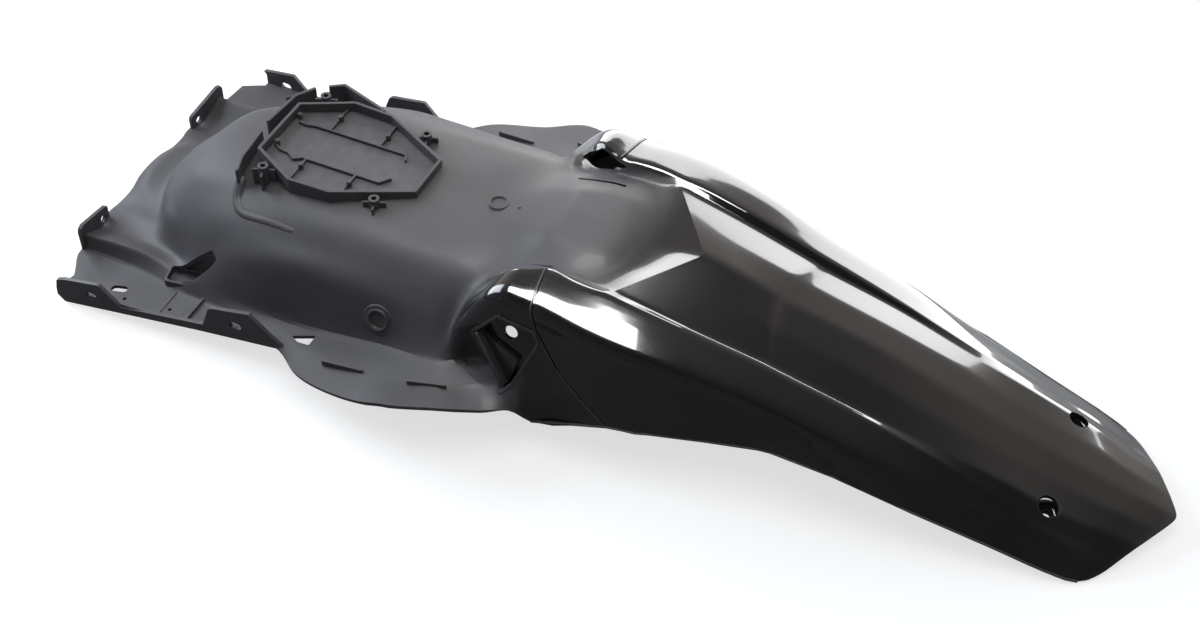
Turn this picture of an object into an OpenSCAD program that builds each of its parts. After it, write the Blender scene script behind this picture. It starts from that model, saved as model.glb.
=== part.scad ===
// Motorcycle rear fender, one moulding in black plastic.
// X runs rearwards to the tip, Y to the right side of the bike and Z up.
// The part lies on its lower edges; the origin is at the middle of its footprint.

/* [Overall] */
// Distance of the tip from the bracket plane in front
fender_l = 828; // [760:1:900]
// Width over the two side wings
wing_w = 324; // [300:1:340]
// Wall of the moulding
shell_t = 3; // [2.4:0.1:3.6]
// Height of the saddle under the seat
saddle_h = 97; // [90:1:104]
// Height of the shoulder creases
shoulder_h = 121; // [114:1:128]
// Distance between the shoulder creases
shoulder_w = 128; // [118:1:138]
// Height of the tip's upper edge
tip_h = 22; // [18:1:28]

/* [Side tabs] */
// Distance of the tab faces from the centre line
tab_y = 138; // [134:1:142]
// Thickness of the tabs and the ledge's rim
tab_t = 3; // [2.4:0.1:4]
// Distance of the front tab's slot from the front
tab_a_x = 50; // [46:1:54]
// Distance of the second tab's slot from the front
tab_b_x = 175; // [171:1:180]
// Width of a tab slot across
slot_d = 6.6; // [5.5:0.1:8]
// Length of a tab slot
slot_l = 10; // [9:0.5:12]

/* [Front ears] */
// Distance of the ear holes from the centre line
ear_y = 66; // [62:1:72]
// Ear hole
ear_d = 6.5; // [5:0.1:7]

/* [Tray] */
// Height of the tray's rim
rim_h = 103.5; // [102:0.5:108]
// Thickness of the tray walls
rim_t = 2.5; // [2:0.1:3]
// Depth from the rim to the tray floor
tray_deep = 8; // [7:0.5:9]

/* [Bosses] */
// Outer diameter of the screw bosses
boss_d = 8; // [7:0.1:10]
// Pilot hole in the screw bosses
pilot_d = 4; // [3:0.1:5]

/* [Shoulder pockets] */
// Hole in the floor of each pocket
pocket_hole_d = 10; // [8:0.5:11]

/* [Tail holes] */
// Distance of the tail holes from the centre line
tip_hole_y = 41; // [38:0.5:43]
// Distance of the tail holes from the front
tip_hole_x = 747; // [740:1:752]
// Through hole
tip_hole_d = 6.5; // [5:0.1:8]
// Recess for the screw head
tip_recess_d = 14; // [12:0.5:15]

/* [Hidden] */
across_n = 2;
along_step = 21;
half_w = wing_w / 2;
peak_y = shoulder_w / 2;
toe_in = 2.7;
function edge_y(x) = tab_y - tan(toe_in) * (x - tab_a_x) - 1.5;

// Section control points from the centre line outwards, each [distance from the front, y, z]
front_edge = [[6, 0, 11], [7, 14, 11], [9, 28, 9], [8, 42, 7], [5, 55, 5], [7.5, 74, 6],
    [10, 92, 16], [10.5, 96, 4], [12, edge_y(12), 1]];
bead_row = [[17, 0, 18.5], [18, 14, 18.5], [22, 28, 17], [27, 41, 13], [29, 56, 7], [30, 74, 8],
    [30, 91, 18], [30, 96, 5], [30, edge_y(30), 5]];
valley_row = [[27, 0, 19], [28, 14, 19], [32, 29, 18.5], [40, 44, 17], [44, 58, 11], [46, 75, 10],
    [46, 91, 19], [46, 97, 6], [46, edge_y(46), 6]];
riser_row = [[37, 0, 21], [38, 14, 21], [42, 29, 21], [50, 45, 20], [58, 60, 17], [62, 76, 13],
    [62, 91, 19], [62, 99, 8], [62, edge_y(62), 8]];
dome_edge_row = [[43, 0, 32], [44, 15, 32], [50, 32, 32.5], [58, 47, 33.5], [70, 62, 34], [80, 78, 17],
    [82, 92, 17], [82, 103, 9], [82, edge_y(82), 9]];
dome_row = [[60, 0, 49], [61, 18, 48.5], [66, 38, 47], [75, 54, 45], [87, 69, 38], [97, 84, 20],
    [98, 97, 17], [98, 106, 10], [98, edge_y(98), 10]];
dome_mid_row = [[83, 0, 71], [84, 20, 70], [87, 40, 67], [94, 57, 58], [102, 73, 46], [109, 88, 28],
    [110, 101, 19], [110, 108, 11], [110, edge_y(110), 11]];
dome_top_row = [[120, 0, saddle_h - 12], [120, 21, saddle_h - 13], [121, 42, saddle_h - 16],
    [124, 58, saddle_h - 24], [127, 74, saddle_h - 36], [129, 89, 41], [129, 103, 22], [129, 110, 13],
    [129, edge_y(129), 13]];
tray_row = [[160, 0, saddle_h - 6], [160, 22, saddle_h - 6], [160, 45, saddle_h - 8],
    [160, 62, saddle_h - 14], [160, 78, saddle_h - 25], [160, 93, 56], [160, 105, 22], [160, 113, 16],
    [160, edge_y(160), 16]];
saddle_row = [[205, 0, saddle_h - 3], [205, 22, saddle_h - 3], [205, 46, saddle_h - 4],
    [205, 64, saddle_h - 8], [205, 80, saddle_h - 18], [205, 95, 68], [205, 107, 24], [205, 120, 21],
    [205, edge_y(205), 21]];
wing_row = [[236, 0, saddle_h - 1], [236, 22, saddle_h - 1], [236, 47, saddle_h - 2],
    [236, 64, saddle_h - 6], [236, 80, saddle_h - 16], [236, 95, 69], [236, 108, 29],
    [236, 130, 28], [237, half_w - 12, 26]];
wing_wide_row = [[281, 0, saddle_h + 1], [281, 22, saddle_h + 1], [281, 47, saddle_h - 1],
    [281, 64, saddle_h - 4], [281, 80, saddle_h - 14], [281, 95, 69], [281, 108, 37],
    [281, 134, 35], [281, half_w - 3, 33]];
bulge_row = [[322, 0, saddle_h + 2], [322, 22, saddle_h + 2], [322, 47, saddle_h + 1],
    [322, 64, saddle_h - 2], [322, 80, saddle_h - 12], [322, 96, 68], [320, 113, 47], [319, 137, 45],
    [318, half_w - 0.5, 46.5]];
pod_foot_row = [[345, 0, saddle_h + 7], [345, 24, saddle_h + 6], [345, 50, saddle_h + 1],
    [342, 68, saddle_h - 3], [335, 84, 82], [331, 97, 65], [334, 112, 49], [340, 134, 48],
    [346, 153, 49]];
pod_lip_row = [[359, 0, saddle_h + 12], [358, 25, saddle_h + 11], [355, 54, saddle_h + 2],
    [349, 73, saddle_h + 1], [341, 87, 89], [336, 99, 71], [339, 107, 48], [366, 116.5, 44],
    [375, 136, 43]];
cap_row = [[377, 0, shoulder_h - 5], [376, 26, shoulder_h - 6], [373, 54, shoulder_h - 17],
    [370, peak_y + 7, shoulder_h - 2], [373, peak_y + 29, shoulder_h - 2.5],
    [375, 99, 98], [379, 106, 70], [386, 113, 51], [392, 123.5, 38.5]];
foot_row = [[384, 0, shoulder_h - 4.5], [384, 27, shoulder_h - 5.5], [382, 55, shoulder_h - 14],
    [380, peak_y + 3, shoulder_h - 1.5], [384, peak_y + 29.5, shoulder_h - 3],
    [387, 98.5, 98], [395, 105.5, 70], [399, 111, 47], [403, 115, 23]];
groove_row = [[391, 0, shoulder_h - 4], [391, 28, shoulder_h - 5], [391, 55, shoulder_h - 11],
    [390, peak_y - 2, shoulder_h - 1], [395, peak_y + 29.5, shoulder_h - 4], [399, 97.5, 98],
    [418, 104, 73], [438, 108.5, 57], [459, 112.5, 43.5]];
hump_end_row = [[420, 0, shoulder_h - 4.5], [419, 28, shoulder_h - 5.5], [412, 54, shoulder_h - 9],
    [412, peak_y + 1, shoulder_h - 2], [417, peak_y + 32, shoulder_h - 5.5], [422, 99.5, 98],
    [437, 104.5, 74], [453, 108.5, 58], [470, 111.5, 45]];
valley_back_row = [[438, 0, shoulder_h - 10.5], [432, 28, shoulder_h - 10], [423, 55, shoulder_h - 9],
    [422, peak_y + 1, shoulder_h - 2.5], [427, peak_y + 33, shoulder_h - 6.5], [433, 100.5, 98],
    [447, 104.5, 74], [462, 108, 58.5], [479, 110.5, 45.5]];
roof_row = [[479, 0, shoulder_h - 5], [459, 28, shoulder_h - 5.5], [438, 57, shoulder_h - 6],
    [434, peak_y, shoulder_h - 3.5], [440, peak_y + 33.5, shoulder_h - 8], [446, 101, 97],
    [460, 103.5, 74.5], [473, 106, 60], [488, 108.5, 47]];
roof_mid_row = [[502, 0, shoulder_h - 10], [494, 27, shoulder_h - 13], [486, 56, shoulder_h - 17],
    [486, 62, shoulder_h - 13], [491, 92, shoulder_h - 16.5], [497, 96, 89.5], [507, 98, 75],
    [517, 99.5, 62.5], [526, 100.3, 50.5]];
roof_end_row = [[533, 0, 102.5], [537, 25, 98.5], [544, 52, 90.5], [545, 57, 94], [548, 82.5, 90],
    [551, 86.5, 79], [554, 88.5, 69], [557, 90, 59.5], [560, 91, 50.2]];
step_row = [[541, 0, 98.5], [545, 25, 95], [552, 51.5, 88], [553, 56.5, 92], [556, 81.5, 88],
    [559, 85.8, 77.5], [562, 87.8, 68], [565, 89.3, 59], [568, 90.2, 50.5]];
tail_row = [[612, 0, 83], [612, 25, 80], [612, 50, 74], [612, 54, 76], [612, 76, 71.5], [612, 83, 66.5],
    [612, 87, 61], [612, 89.7, 55.5], [612, 91, 50.3]];
tail_mid_row = [[668, 0, 65], [668, 25, 63], [668, 46, 59], [668, 53, 58], [668, 64, 53], [668, 72, 49],
    [668, 78.5, 45.5], [668, 83.5, 42], [668, 87.5, 38.8]];
tail_low_row = [[719, 0, 49], [719, 22, 48], [719, 43, 46], [719, 53, 41], [719, 58.5, 38], [719, 64.5, 35],
    [719, 70, 31.8], [719, 75.5, 28.6], [719, 80.8, 25.5]];
tip_hole_row = [[757, 0, 39], [757, 22, 37.5], [757, 42, 34], [757, 52, 29], [757, 57, 27], [757, 62, 24],
    [757, 67, 21], [757, 72, 18], [757, 76.5, 15.5]];
tip_row = [[800, 0, tip_h + 6], [798, 18, tip_h + 5], [792, 36, tip_h + 2], [788, 46, tip_h - 2],
    [785, 52.5, tip_h - 4], [782, 58.5, tip_h - 6], [779, 64, tip_h - 8], [776, 69, tip_h - 9.5],
    [772, 73.6, tip_h - 10.3]];
rear_edge = [[fender_l, 0, tip_h], [fender_l - 9, 17, tip_h - 0.5], [fender_l - 19, 34, tip_h - 1.7],
    [fender_l - 25, 43.3, tip_h - 4.2], [fender_l - 29.5, 50.5, tip_h - 6.5], [fender_l - 34, 57.5, tip_h - 8.7],
    [fender_l - 38, 62.5, tip_h - 10.2], [fender_l - 42.5, 67.2, tip_h - 11.4],
    [fender_l - 48, 70.7, tip_h - 11.8]];

rows = [front_edge, bead_row, valley_row, riser_row, dome_edge_row, dome_row, dome_mid_row,
    dome_top_row, tray_row, saddle_row, wing_row, wing_wide_row, bulge_row, pod_foot_row, pod_lip_row,
    cap_row, foot_row, groove_row, hump_end_row, valley_back_row, roof_row, roof_mid_row, roof_end_row, step_row,
    tail_row, tail_mid_row, tail_low_row, tip_hole_row, tip_row, rear_edge];
// How softly each row is rounded across, from 0 for facets to 1, and the same for each column
row_soft = [for (k = [0 : len(rows) - 1]) k < 13 ? 1 : k == 13 ? 0.9 : k == 14 ? 0.5 : k < 19 ? 0.2 : 0];
column_soft = [1, 1, 1, 1, 1, 0.5, 0.2, 0.2, 1];
// The outer shoulder stays round where the rest is faceted
shoulder_col = 4;
shoulder_soft = [for (k = [0 : len(rows) - 1]) k < 14 || k > 25 ? 0 : k < 25 ? 1 : 0.5];
function soft_at(i, j) = max(row_soft[i] * column_soft[j], j == shoulder_col ? shoulder_soft[i] : 0);
// Rows where the roof's facets meet in a crease between the shoulders
crease_rows = [20, 22, 23];

function unit(v) = v / norm(v);

// Cubic between b and c; soft end weights turn it into a straight line at 0
function mix(a, b, k) = a * (1 - k) + b * k;
function cubic(b, c, tb, tc, u) =
    b * (2 * u * u * u - 3 * u * u + 1) + tb * (u * u * u - 2 * u * u + u)
    + c * (3 * u * u - 2 * u * u * u) + tc * (u * u * u - u * u);
function across(row, i) = let (last = len(row) - 1, m = across_n) [
    for (j = [0 : last - 1]) for (k = [0 : m - 1])
        let (b = row[j], c = row[j + 1], chord = c - b,
            a = j == 0 ? [c[0], -c[1], c[2]] : row[j - 1],
            d = j == last - 1 ? c + chord : row[j + 2])
        cubic(b, c, mix(chord, (c - a) / 2, soft_at(i, j)),
            mix(chord, (d - b) / 2, soft_at(i, j + 1)), k / m),
    row[last]];
half_rows = [for (i = [0 : len(rows) - 1]) across(rows[i], i)];
row_at = [for (r = rows) r[0][0]];

// Steps between two control rows, and the points along one column
span_n = [for (i = [0 : len(rows) - 2]) max(1, ceil((row_at[i + 1] - row_at[i]) / along_step))];
function creased(i, j) = j < 3 * across_n && len(search(i, crease_rows)) > 0;
function tangent(i, j, way) =
    i == 0 ? unit(half_rows[1][j] - half_rows[0][j])
    : i == len(rows) - 1 ? unit(half_rows[i][j] - half_rows[i - 1][j])
    : let (d0 = half_rows[i][j] - half_rows[i - 1][j], d1 = half_rows[i + 1][j] - half_rows[i][j],
        h0 = norm(d0), h1 = norm(d1))
        creased(i, j) ? (way > 0 ? d1 / h1 : d0 / h0) : (d0 / h0 * h1 + d1 / h1 * h0) / (h0 + h1);
fine_rows = [
    for (i = [0 : len(rows) - 2]) for (k = [0 : span_n[i] - 1])
        [for (j = [0 : len(half_rows[0]) - 1])
            let (b = half_rows[i][j], c = half_rows[i + 1][j], h = norm(c - b))
            cubic(b, c, tangent(i, j, 1) * h, tangent(i + 1, j, -1) * h, k / span_n[i])],
    half_rows[len(rows) - 1]];

// Both sides, then the skin inside at one wall along the normals
half_n = len(fine_rows[0]) - 1;
row_n = len(fine_rows) - 1;
col_n = 2 * half_n;
outer = [for (r = fine_rows) [
    for (j = [0 : col_n]) let (p = r[abs(j - half_n)]) [p[0], p[1] * (j < half_n ? -1 : 1), p[2]]]];
function skin_normal(i, j) = unit(cross(
    outer[min(i + 1, row_n)][j] - outer[max(i - 1, 0)][j],
    outer[i][min(j + 1, col_n)] - outer[i][max(j - 1, 0)]));
inner = [for (i = [0 : row_n]) [for (j = [0 : col_n]) outer[i][j] - shell_t * skin_normal(i, j)]];

skin_points = [for (r = outer) each r, for (r = inner) each r];
function at(i, j, deep) = deep * (row_n + 1) * (col_n + 1) + i * (col_n + 1) + j;
function quad(a, b, c, d, flip) = flip ? [[a, b, d], [b, c, d]] : [[a, b, c], [a, c, d]];
skin_faces = [
    for (i = [0 : row_n - 1]) for (j = [0 : col_n - 1]) each
        quad(at(i, j, 0), at(i, j + 1, 0), at(i + 1, j + 1, 0), at(i + 1, j, 0), j < half_n),
    for (i = [0 : row_n - 1]) for (j = [0 : col_n - 1]) each
        quad(at(i + 1, j, 1), at(i + 1, j + 1, 1), at(i, j + 1, 1), at(i, j, 1), j < half_n),
    for (j = [0 : col_n - 1]) each
        quad(at(0, j + 1, 0), at(0, j, 0), at(0, j, 1), at(0, j + 1, 1), false),
    for (j = [0 : col_n - 1]) each
        quad(at(row_n, j, 0), at(row_n, j + 1, 0), at(row_n, j + 1, 1), at(row_n, j, 1), false),
    for (i = [0 : row_n - 1]) each
        quad(at(i, 0, 0), at(i + 1, 0, 0), at(i + 1, 0, 1), at(i, 0, 1), false),
    for (i = [0 : row_n - 1]) each
        quad(at(i + 1, col_n, 0), at(i, col_n, 0), at(i, col_n, 1), at(i + 1, col_n, 1), false)];

module skin() polyhedron(points = skin_points, faces = skin_faces, convexity = 12);

// Mirror a feature to both sides
module both_sides() for (k = [0, 1]) mirror([0, k, 0]) children();

// Flat plate standing along X, drawn as [distance from the front, height], its outer face at y
module side_plate(points, y, t) translate([0, y, 0]) rotate([90, 0, 0]) linear_extrude(t) polygon(points);

// Rim along the ledge with its two raised tabs; it closes in towards the rear
rim_low = [[16, -2], [25, -9], [140, 10], [216, 20]];
function rim_z(x) = lookup(x, rim_low);
rim_lip = 7;
rim_top = [[tab_b_x + 32, 27], [tab_b_x + 13, 46], [tab_b_x - 18, 39.5], [tab_b_x - 21, 37],
    [tab_b_x - 28, rim_z(tab_b_x - 28) + rim_lip], [tab_a_x + 25, rim_z(tab_a_x + 25) + rim_lip],
    [tab_a_x + 9, 23], [tab_a_x - 22, 17], [tab_a_x - 27, 15], [16, 5]];
module on_rim(x) translate([x, tab_y - tan(toe_in) * (x - tab_a_x), 0]) rotate([0, 0, -toe_in]) children();
module ledge_rim() on_rim(0) side_plate(concat(rim_low, rim_top), 0, tab_t);

// The ledge ends further back on the right side than on the left
left_nose = [[-5, -94], [8.5, -97], [13, -107], [18, -115], [22, -122], [18, -134], [18, -150], [-5, -150]];
right_nose = [[-5, 110], [5, 118], [11, 126], [31, 132], [31, 150], [-5, 150]];
module ledge_nose() for (p = [left_nose, right_nose]) translate([0, 0, -20]) linear_extrude(60) polygon(p);

// Slot with round ends, cut along Y
module slot_y(d, l, deep) rotate([90, 0, 0]) union() {
    for (k = [-1, 1]) translate([k * (l - d) / 2, 0, -deep / 2]) cylinder(d = d, h = deep, $fn = 32);
    translate([-(l - d) / 2, -d / 2, -deep / 2]) cube([l - d, d, deep]);
}

// Upright front ear beside the wheel arch
ear_x = 3.2;
ear_z = 9.5;
ear_lean = 8;
module ear() translate([ear_x, 42, 0]) rotate([0, 0, -ear_lean]) rotate([90, 0, 90]) linear_extrude(shell_t)
    polygon([[16, 1], [16, 15], [18, 17], [50, 26], [54, 25], [55.5, 22], [55.5, 1], [40, 2]]);

// Ribs across the ledge, with the oblong hole and the small drain holes
ledge_rib_x = [105, 129];
module ledge_ribs() for (x = ledge_rib_x)
    translate([x, 106, rim_z(x) + 2]) cube([2, edge_y(x) - 106, 5]);
module ledge_holes() {
    translate([64, 122, -5]) rotate([0, 0, -12]) union() {
        for (k = [-1, 1]) translate([k * 3.5, 0, 0]) cylinder(d = 6, h = 30, $fn = 32);
        translate([-3.5, -3, 0]) cube([7, 6, 30]);
    }
    translate([74, 129.5, -5]) cylinder(d = 3, h = 30, $fn = 24);
    translate([105 + 7, 126, -5]) cylinder(d = 3, h = 40, $fn = 24);
}

// Three-cornered window at the wing's root and the raised lines on the wing
module wing_window() translate([0, 0, 15]) linear_extrude(30) polygon([[213, 118], [231, 113.5], [231, 123.5], [221, 122.5]]);
module wing_lines() {
    translate([251, 136, 30]) rotate([0, -5, -4]) cube([32, 2, 4.6]);
    translate([320, 137, 44]) rotate([0, -3, -14]) cube([28, 2, 5]);
}

// Octagonal tray on the saddle
tray_half = [[141, 27], [177, 46], [209, 45], [263, 18]];
function mirror_y(p) = [for (k = [len(p) - 1 : -1 : 0]) [p[k][0], -p[k][1]]];
tray_outline = concat(tray_half, mirror_y(tray_half));
floor_z = rim_h - tray_deep;
module tray_area(grow) offset(delta = grow) polygon(tray_outline);
module tray_wall() translate([0, 0, saddle_h - 13]) linear_extrude(rim_h - saddle_h + 13) difference() {
    tray_area(rim_t);
    tray_area(0);
}
module tray_floor() translate([0, 0, floor_z - shell_t]) linear_extrude(shell_t) tray_area(rim_t / 2);
module tray_cut() translate([0, 0, floor_z - 0.5]) linear_extrude(60) tray_area(0);
module tray_under() translate([0, 0, saddle_h - 40]) linear_extrude(floor_z - shell_t - saddle_h + 40.5) tray_area(-0.5);
module rib_line(points, w, h) for (k = [0 : len(points) - 2])
    let (a = points[k], b = points[k + 1], v = b - a)
    translate([a[0], a[1], floor_z - 0.5]) rotate([0, 0, atan2(v[1], v[0])])
    translate([0, -w / 2, 0]) cube([norm(v), w, h + 0.5]);
module tray_ribs() {
    rib_line([[146, 16], [153, 15], [160, 17], [236, 18], [239, 12]], 1.6, 2.5);
    rib_line([[143, -13], [150, -17], [158, -18], [164, -22], [170, -18], [233, -17], [239, -9]], 1.6, 2.5);
    for (p = [[172, 18, 46], [214, 18, 42], [173, -18, -46], [214, -18, -42]])
        rib_line([[p[0], p[1]], [p[0], p[2]]], 1.6, 2.5);
    for (p = [[173, 32], [215, 29], [174, -27], [215, -28], [144, 21], [145, -12]])
        translate([p[0], p[1], floor_z - 0.5]) cylinder(d = 4, h = 5.5, $fn = 24);
}

// Second wall round the front and right side of the tray
module wall_line(points, t, z0, z1) for (k = [0 : len(points) - 2])
    let (a = points[k], b = points[k + 1], v = b - a)
    translate([a[0], a[1], z0]) rotate([0, 0, atan2(v[1], v[0])])
    translate([-t / 2, -t / 2, 0]) cube([norm(v) + t, t, z1 - z0]);
module outer_wall() {
    wall_line([[135, -52], [130, -37], [127, -6]], rim_t, saddle_h - 22, rim_h - 5);
    wall_line([[127, 3], [130, 38], [139, 52]], rim_t, saddle_h - 22, rim_h - 3);
    wall_line([[147, 58], [157, 65], [199, 52]], rim_t, saddle_h - 20, rim_h - 3);
}

// Screw boss with four gussets
boss_places = [[153, 44], [242, 39]];
module boss(p) translate([p[0], p[1], 0]) {
    translate([0, 0, saddle_h - 16]) cylinder(d = boss_d, h = rim_h - saddle_h + 16.5, $fn = 32);
    for (a = [20, 110]) rotate([0, 0, a]) translate([-8.5, -0.8, saddle_h - 18]) cube([17, 1.6, rim_h - saddle_h + 15]);
}

// Half-round bead curving from the tray down the left side
bead_path = [[134, -47, 84], [138, -59, 75], [149, -67, 73], [171, -70, 77], [194, -72, 78.5]];
module bead() for (k = [0 : len(bead_path) - 2]) hull() for (p = [bead_path[k], bead_path[k + 1]])
    translate(p) sphere(d = 9, $fn = 12);

// Gate mark and dot on the saddle, and the round pad on the side wall
module gate_mark() {
    translate([322, 0, saddle_h]) difference() {
        cylinder(d = 15, h = 3.4, $fn = 48);
        translate([0, 0, 2.4]) cylinder(d = 11, h = 2, $fn = 48);
    }
    translate([338, 0, saddle_h]) cylinder(d = 3, h = 6.4, $fn = 24);
}
module wall_pad() translate([277, -99.5, 53]) rotate([90 - 21, 0, 0]) difference() {
    union() {
        cylinder(d = 24, h = 2.6, $fn = 48);
        cylinder(d = 17, h = 3.8, $fn = 48);
    }
    translate([0, 0, 1.2]) cylinder(d = 12, h = 5, $fn = 48);
}

// Pocket for the side panel in each shoulder, drawn on the flank's own slope
flank_tilt = 15.6;
pocket_points = [[354, 79], [371, 98], [397, 95], [401, 88], [387, 52], [381, 45]];
pocket_o = [377, 104.5, 75];
function flank_y(z) = pocket_o[1] - tan(flank_tilt) * (z - pocket_o[2]);
module pocket_shape(grow) offset(delta = grow) polygon([for (p = pocket_points)
    [p[0] - pocket_o[0], (p[1] - pocket_o[2]) / cos(flank_tilt)]]);
pocket_deep = 10;
module pocket_place() translate(pocket_o) rotate([flank_tilt, 0, 0]) rotate([90, 0, 0]) children();
module pocket_cup() pocket_place() translate([0, 0, 0.6]) linear_extrude(pocket_deep + 2.4) pocket_shape(2.4);
module pocket_cut() pocket_place() translate([0, 0, -14]) linear_extrude(14 + pocket_deep) pocket_shape(0);
module pocket_hole() pocket_place() translate([0.5, 8, -20]) cylinder(d = pocket_hole_d, h = 60, $fn = 40);
module pocket_web() pocket_place() translate([0, 0, 0]) linear_extrude(pocket_deep + 1)
    polygon([[-22, 4], [-20, 5.5], [4.5, -29], [3, -31.5]]);

module pocket_step() pocket_place() translate([0, 0, 6.5]) linear_extrude(pocket_deep - 5)
    polygon([[-21, 4], [10.5, -9], [4.5, -31]]);

// Scoop under the inner edge of each shoulder cap
module scoop() side_plate([[352, 101], [371, 117], [397, 116.5], [388, 109.5], [366, 103]], 70, 20);
module scoop_slit() translate([364, 42, 80]) rotate([0, 0, -3]) cube([38, 2.6, 60]);

// Narrow seam that runs over each shoulder and down the flank, and the two fine ribs in front of the cap
seam_w = 1.2;
module strip(a, b, w, low, high) let (v = unit(b - a), n = unit(cross([1, 0, 0], v)), u = cross(v, n))
    multmatrix([[v[0], u[0], n[0], a[0]], [v[1], u[1], n[1], a[1]], [v[2], u[2], n[2], a[2]], [0, 0, 0, 1]])
    translate([-0.3, -w / 2, low]) cube([norm(b - a) + 0.6, w, high - low]);
module seam() let (first = 3 * across_n, r = half_rows[17]) for (j = [first : len(r) - 2])
    strip(r[j], r[j + 1], seam_w, -1, 3);
module cap_ribs() for (k = [0.8, 0.95]) let (
        a = rows[14][4] * (1 - k) + rows[15][4] * k, b = rows[14][5] * (1 - k) + rows[15][5] * k)
    strip(a * 0.92 + b * 0.08, a * 0.05 + b * 0.95, 1.2, -1, 1.4);

// Blind recess at the foot of the wheel arch, with its own floor and inner wall
recess_plan = [[92, 91], [128, 86], [136, 91], [117, 101], [95, 104]];
module recess_cup() {
    translate([0, 0, 8]) linear_extrude(8) offset(delta = 2) polygon(recess_plan);
    side_plate([[90, 9], [138, 9], [138, 43], [129, 40], [110, 27], [98, 17], [90, 15]], 86.5, 2.5);
}
module recess_cut() translate([0, 0, 11]) linear_extrude(50) polygon(recess_plan);

// Boss below each hole near the tip
tip_seat_z = 28.5;
module tip_boss() translate([tip_hole_x, tip_hole_y, tip_seat_z - 4.5])
    cylinder(d = tip_recess_d + 5, h = 9, $fn = 48);

module moulding() difference() {
    union() {
        difference() {
            skin();
            tray_cut();
            tray_under();
        }
        tray_wall();
        tray_floor();
        tray_ribs();
        outer_wall();
        bead();
        gate_mark();
        wall_pad();
        both_sides() {
            ledge_rim();
            ear();
            ledge_ribs();
            wing_lines();
            pocket_cup();
            cap_ribs();
            recess_cup();
            tip_boss();
            for (p = boss_places) boss(p);
        }
    }
    ledge_nose();
    scoop_slit();
    both_sides() {
        ledge_holes();
        wing_window();
        difference() {
            pocket_cut();
            pocket_step();
            pocket_web();
        }
        recess_cut();
        pocket_hole();
        scoop();
        seam();
    }
}

// The part lies on its front tabs and its two tail corners, turned a little about Y
rest_tilt = 1.287;
rest_lift = 0.206;
front_x = 5;
middle_x = (fender_l + front_x) / 2 + 0.304;
module lay_down() translate([0, 0, rest_lift]) rotate([0, rest_tilt, 0]) translate([-middle_x, 0, 0]) children();
function laid(p) = [(p[0] - middle_x) * cos(rest_tilt) + p[2] * sin(rest_tilt), p[1],
    p[2] * cos(rest_tilt) - (p[0] - middle_x) * sin(rest_tilt) + rest_lift];

// Fixing holes, square to the axes of the part as it lies
module fixing_holes() {
    translate(laid([tab_a_x, tab_y, 8.5])) slot_y(slot_d, slot_l, 20);
    translate(laid([tab_b_x, tab_y - 6, 29])) slot_y(slot_d, slot_l, 20);
    translate(laid([ear_x - 6, ear_y, ear_z])) rotate([0, 90, 0]) cylinder(d = ear_d, h = 24, $fn = 32);
    for (p = boss_places) translate(laid([p[0], p[1], rim_h - 14])) cylinder(d = pilot_d, h = 30, $fn = 32);
    translate(laid([tip_hole_x, tip_hole_y, 0])) cylinder(d = tip_hole_d, h = 60, $fn = 48);
    translate(laid([tip_hole_x, tip_hole_y, tip_seat_z])) cylinder(d = tip_recess_d, h = 30, $fn = 48);
}

module rear_fender() color([0.17, 0.17, 0.18]) difference() {
    lay_down() moulding();
    both_sides() fixing_holes();
}

rear_fender();
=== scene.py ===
"""Looks of a motorcycle rear fender: the moulding in its matte and glossy finish, on a pale studio floor."""

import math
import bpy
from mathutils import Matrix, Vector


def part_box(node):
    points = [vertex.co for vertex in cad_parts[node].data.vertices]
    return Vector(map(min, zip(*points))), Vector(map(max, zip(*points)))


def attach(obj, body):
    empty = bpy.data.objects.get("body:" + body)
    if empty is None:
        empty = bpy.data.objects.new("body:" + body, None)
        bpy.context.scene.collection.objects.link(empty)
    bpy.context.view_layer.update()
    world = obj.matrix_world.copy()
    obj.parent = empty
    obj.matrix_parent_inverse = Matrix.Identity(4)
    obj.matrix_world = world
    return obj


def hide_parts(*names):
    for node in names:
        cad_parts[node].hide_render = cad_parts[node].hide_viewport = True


bl_info = {
    "name": "Rear Fender Moulding",
    "version": (1, 0, 0),
    "blender": (4, 5, 0),
    "location": "3D View > Sidebar > Fender",
    "description": "Builds a motorcycle rear fender with its tray, tabs and pods, and the studio round it",
    "category": "Add Mesh",
}

import bmesh
import bpy
import numpy as np
from mathutils import Matrix, Vector
from mathutils.bvhtree import BVHTree

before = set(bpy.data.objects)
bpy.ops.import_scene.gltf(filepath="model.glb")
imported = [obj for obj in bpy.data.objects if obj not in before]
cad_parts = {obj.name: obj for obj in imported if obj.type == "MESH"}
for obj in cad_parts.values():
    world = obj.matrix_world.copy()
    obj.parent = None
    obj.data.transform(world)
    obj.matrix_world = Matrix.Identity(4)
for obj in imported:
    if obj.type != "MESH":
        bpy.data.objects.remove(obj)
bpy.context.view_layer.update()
NODE = "rear_fender"
MM = 0.001
EDGE_ROUND, EDGE_BULGE = 0.16, 0.12  # of the wall, at the free edges
TRAY_DEEP = 8  # mm from the rim to the floor
WORN, DUST, GRAIN_DEEP = (0.16, 0.16, 0.165, 1), (0.34, 0.33, 0.31, 1), 0.00012  # rubbed edges, settled dust; m
FLOOR_HALF = 9


# Sizes and finishes that a user would change

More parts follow.
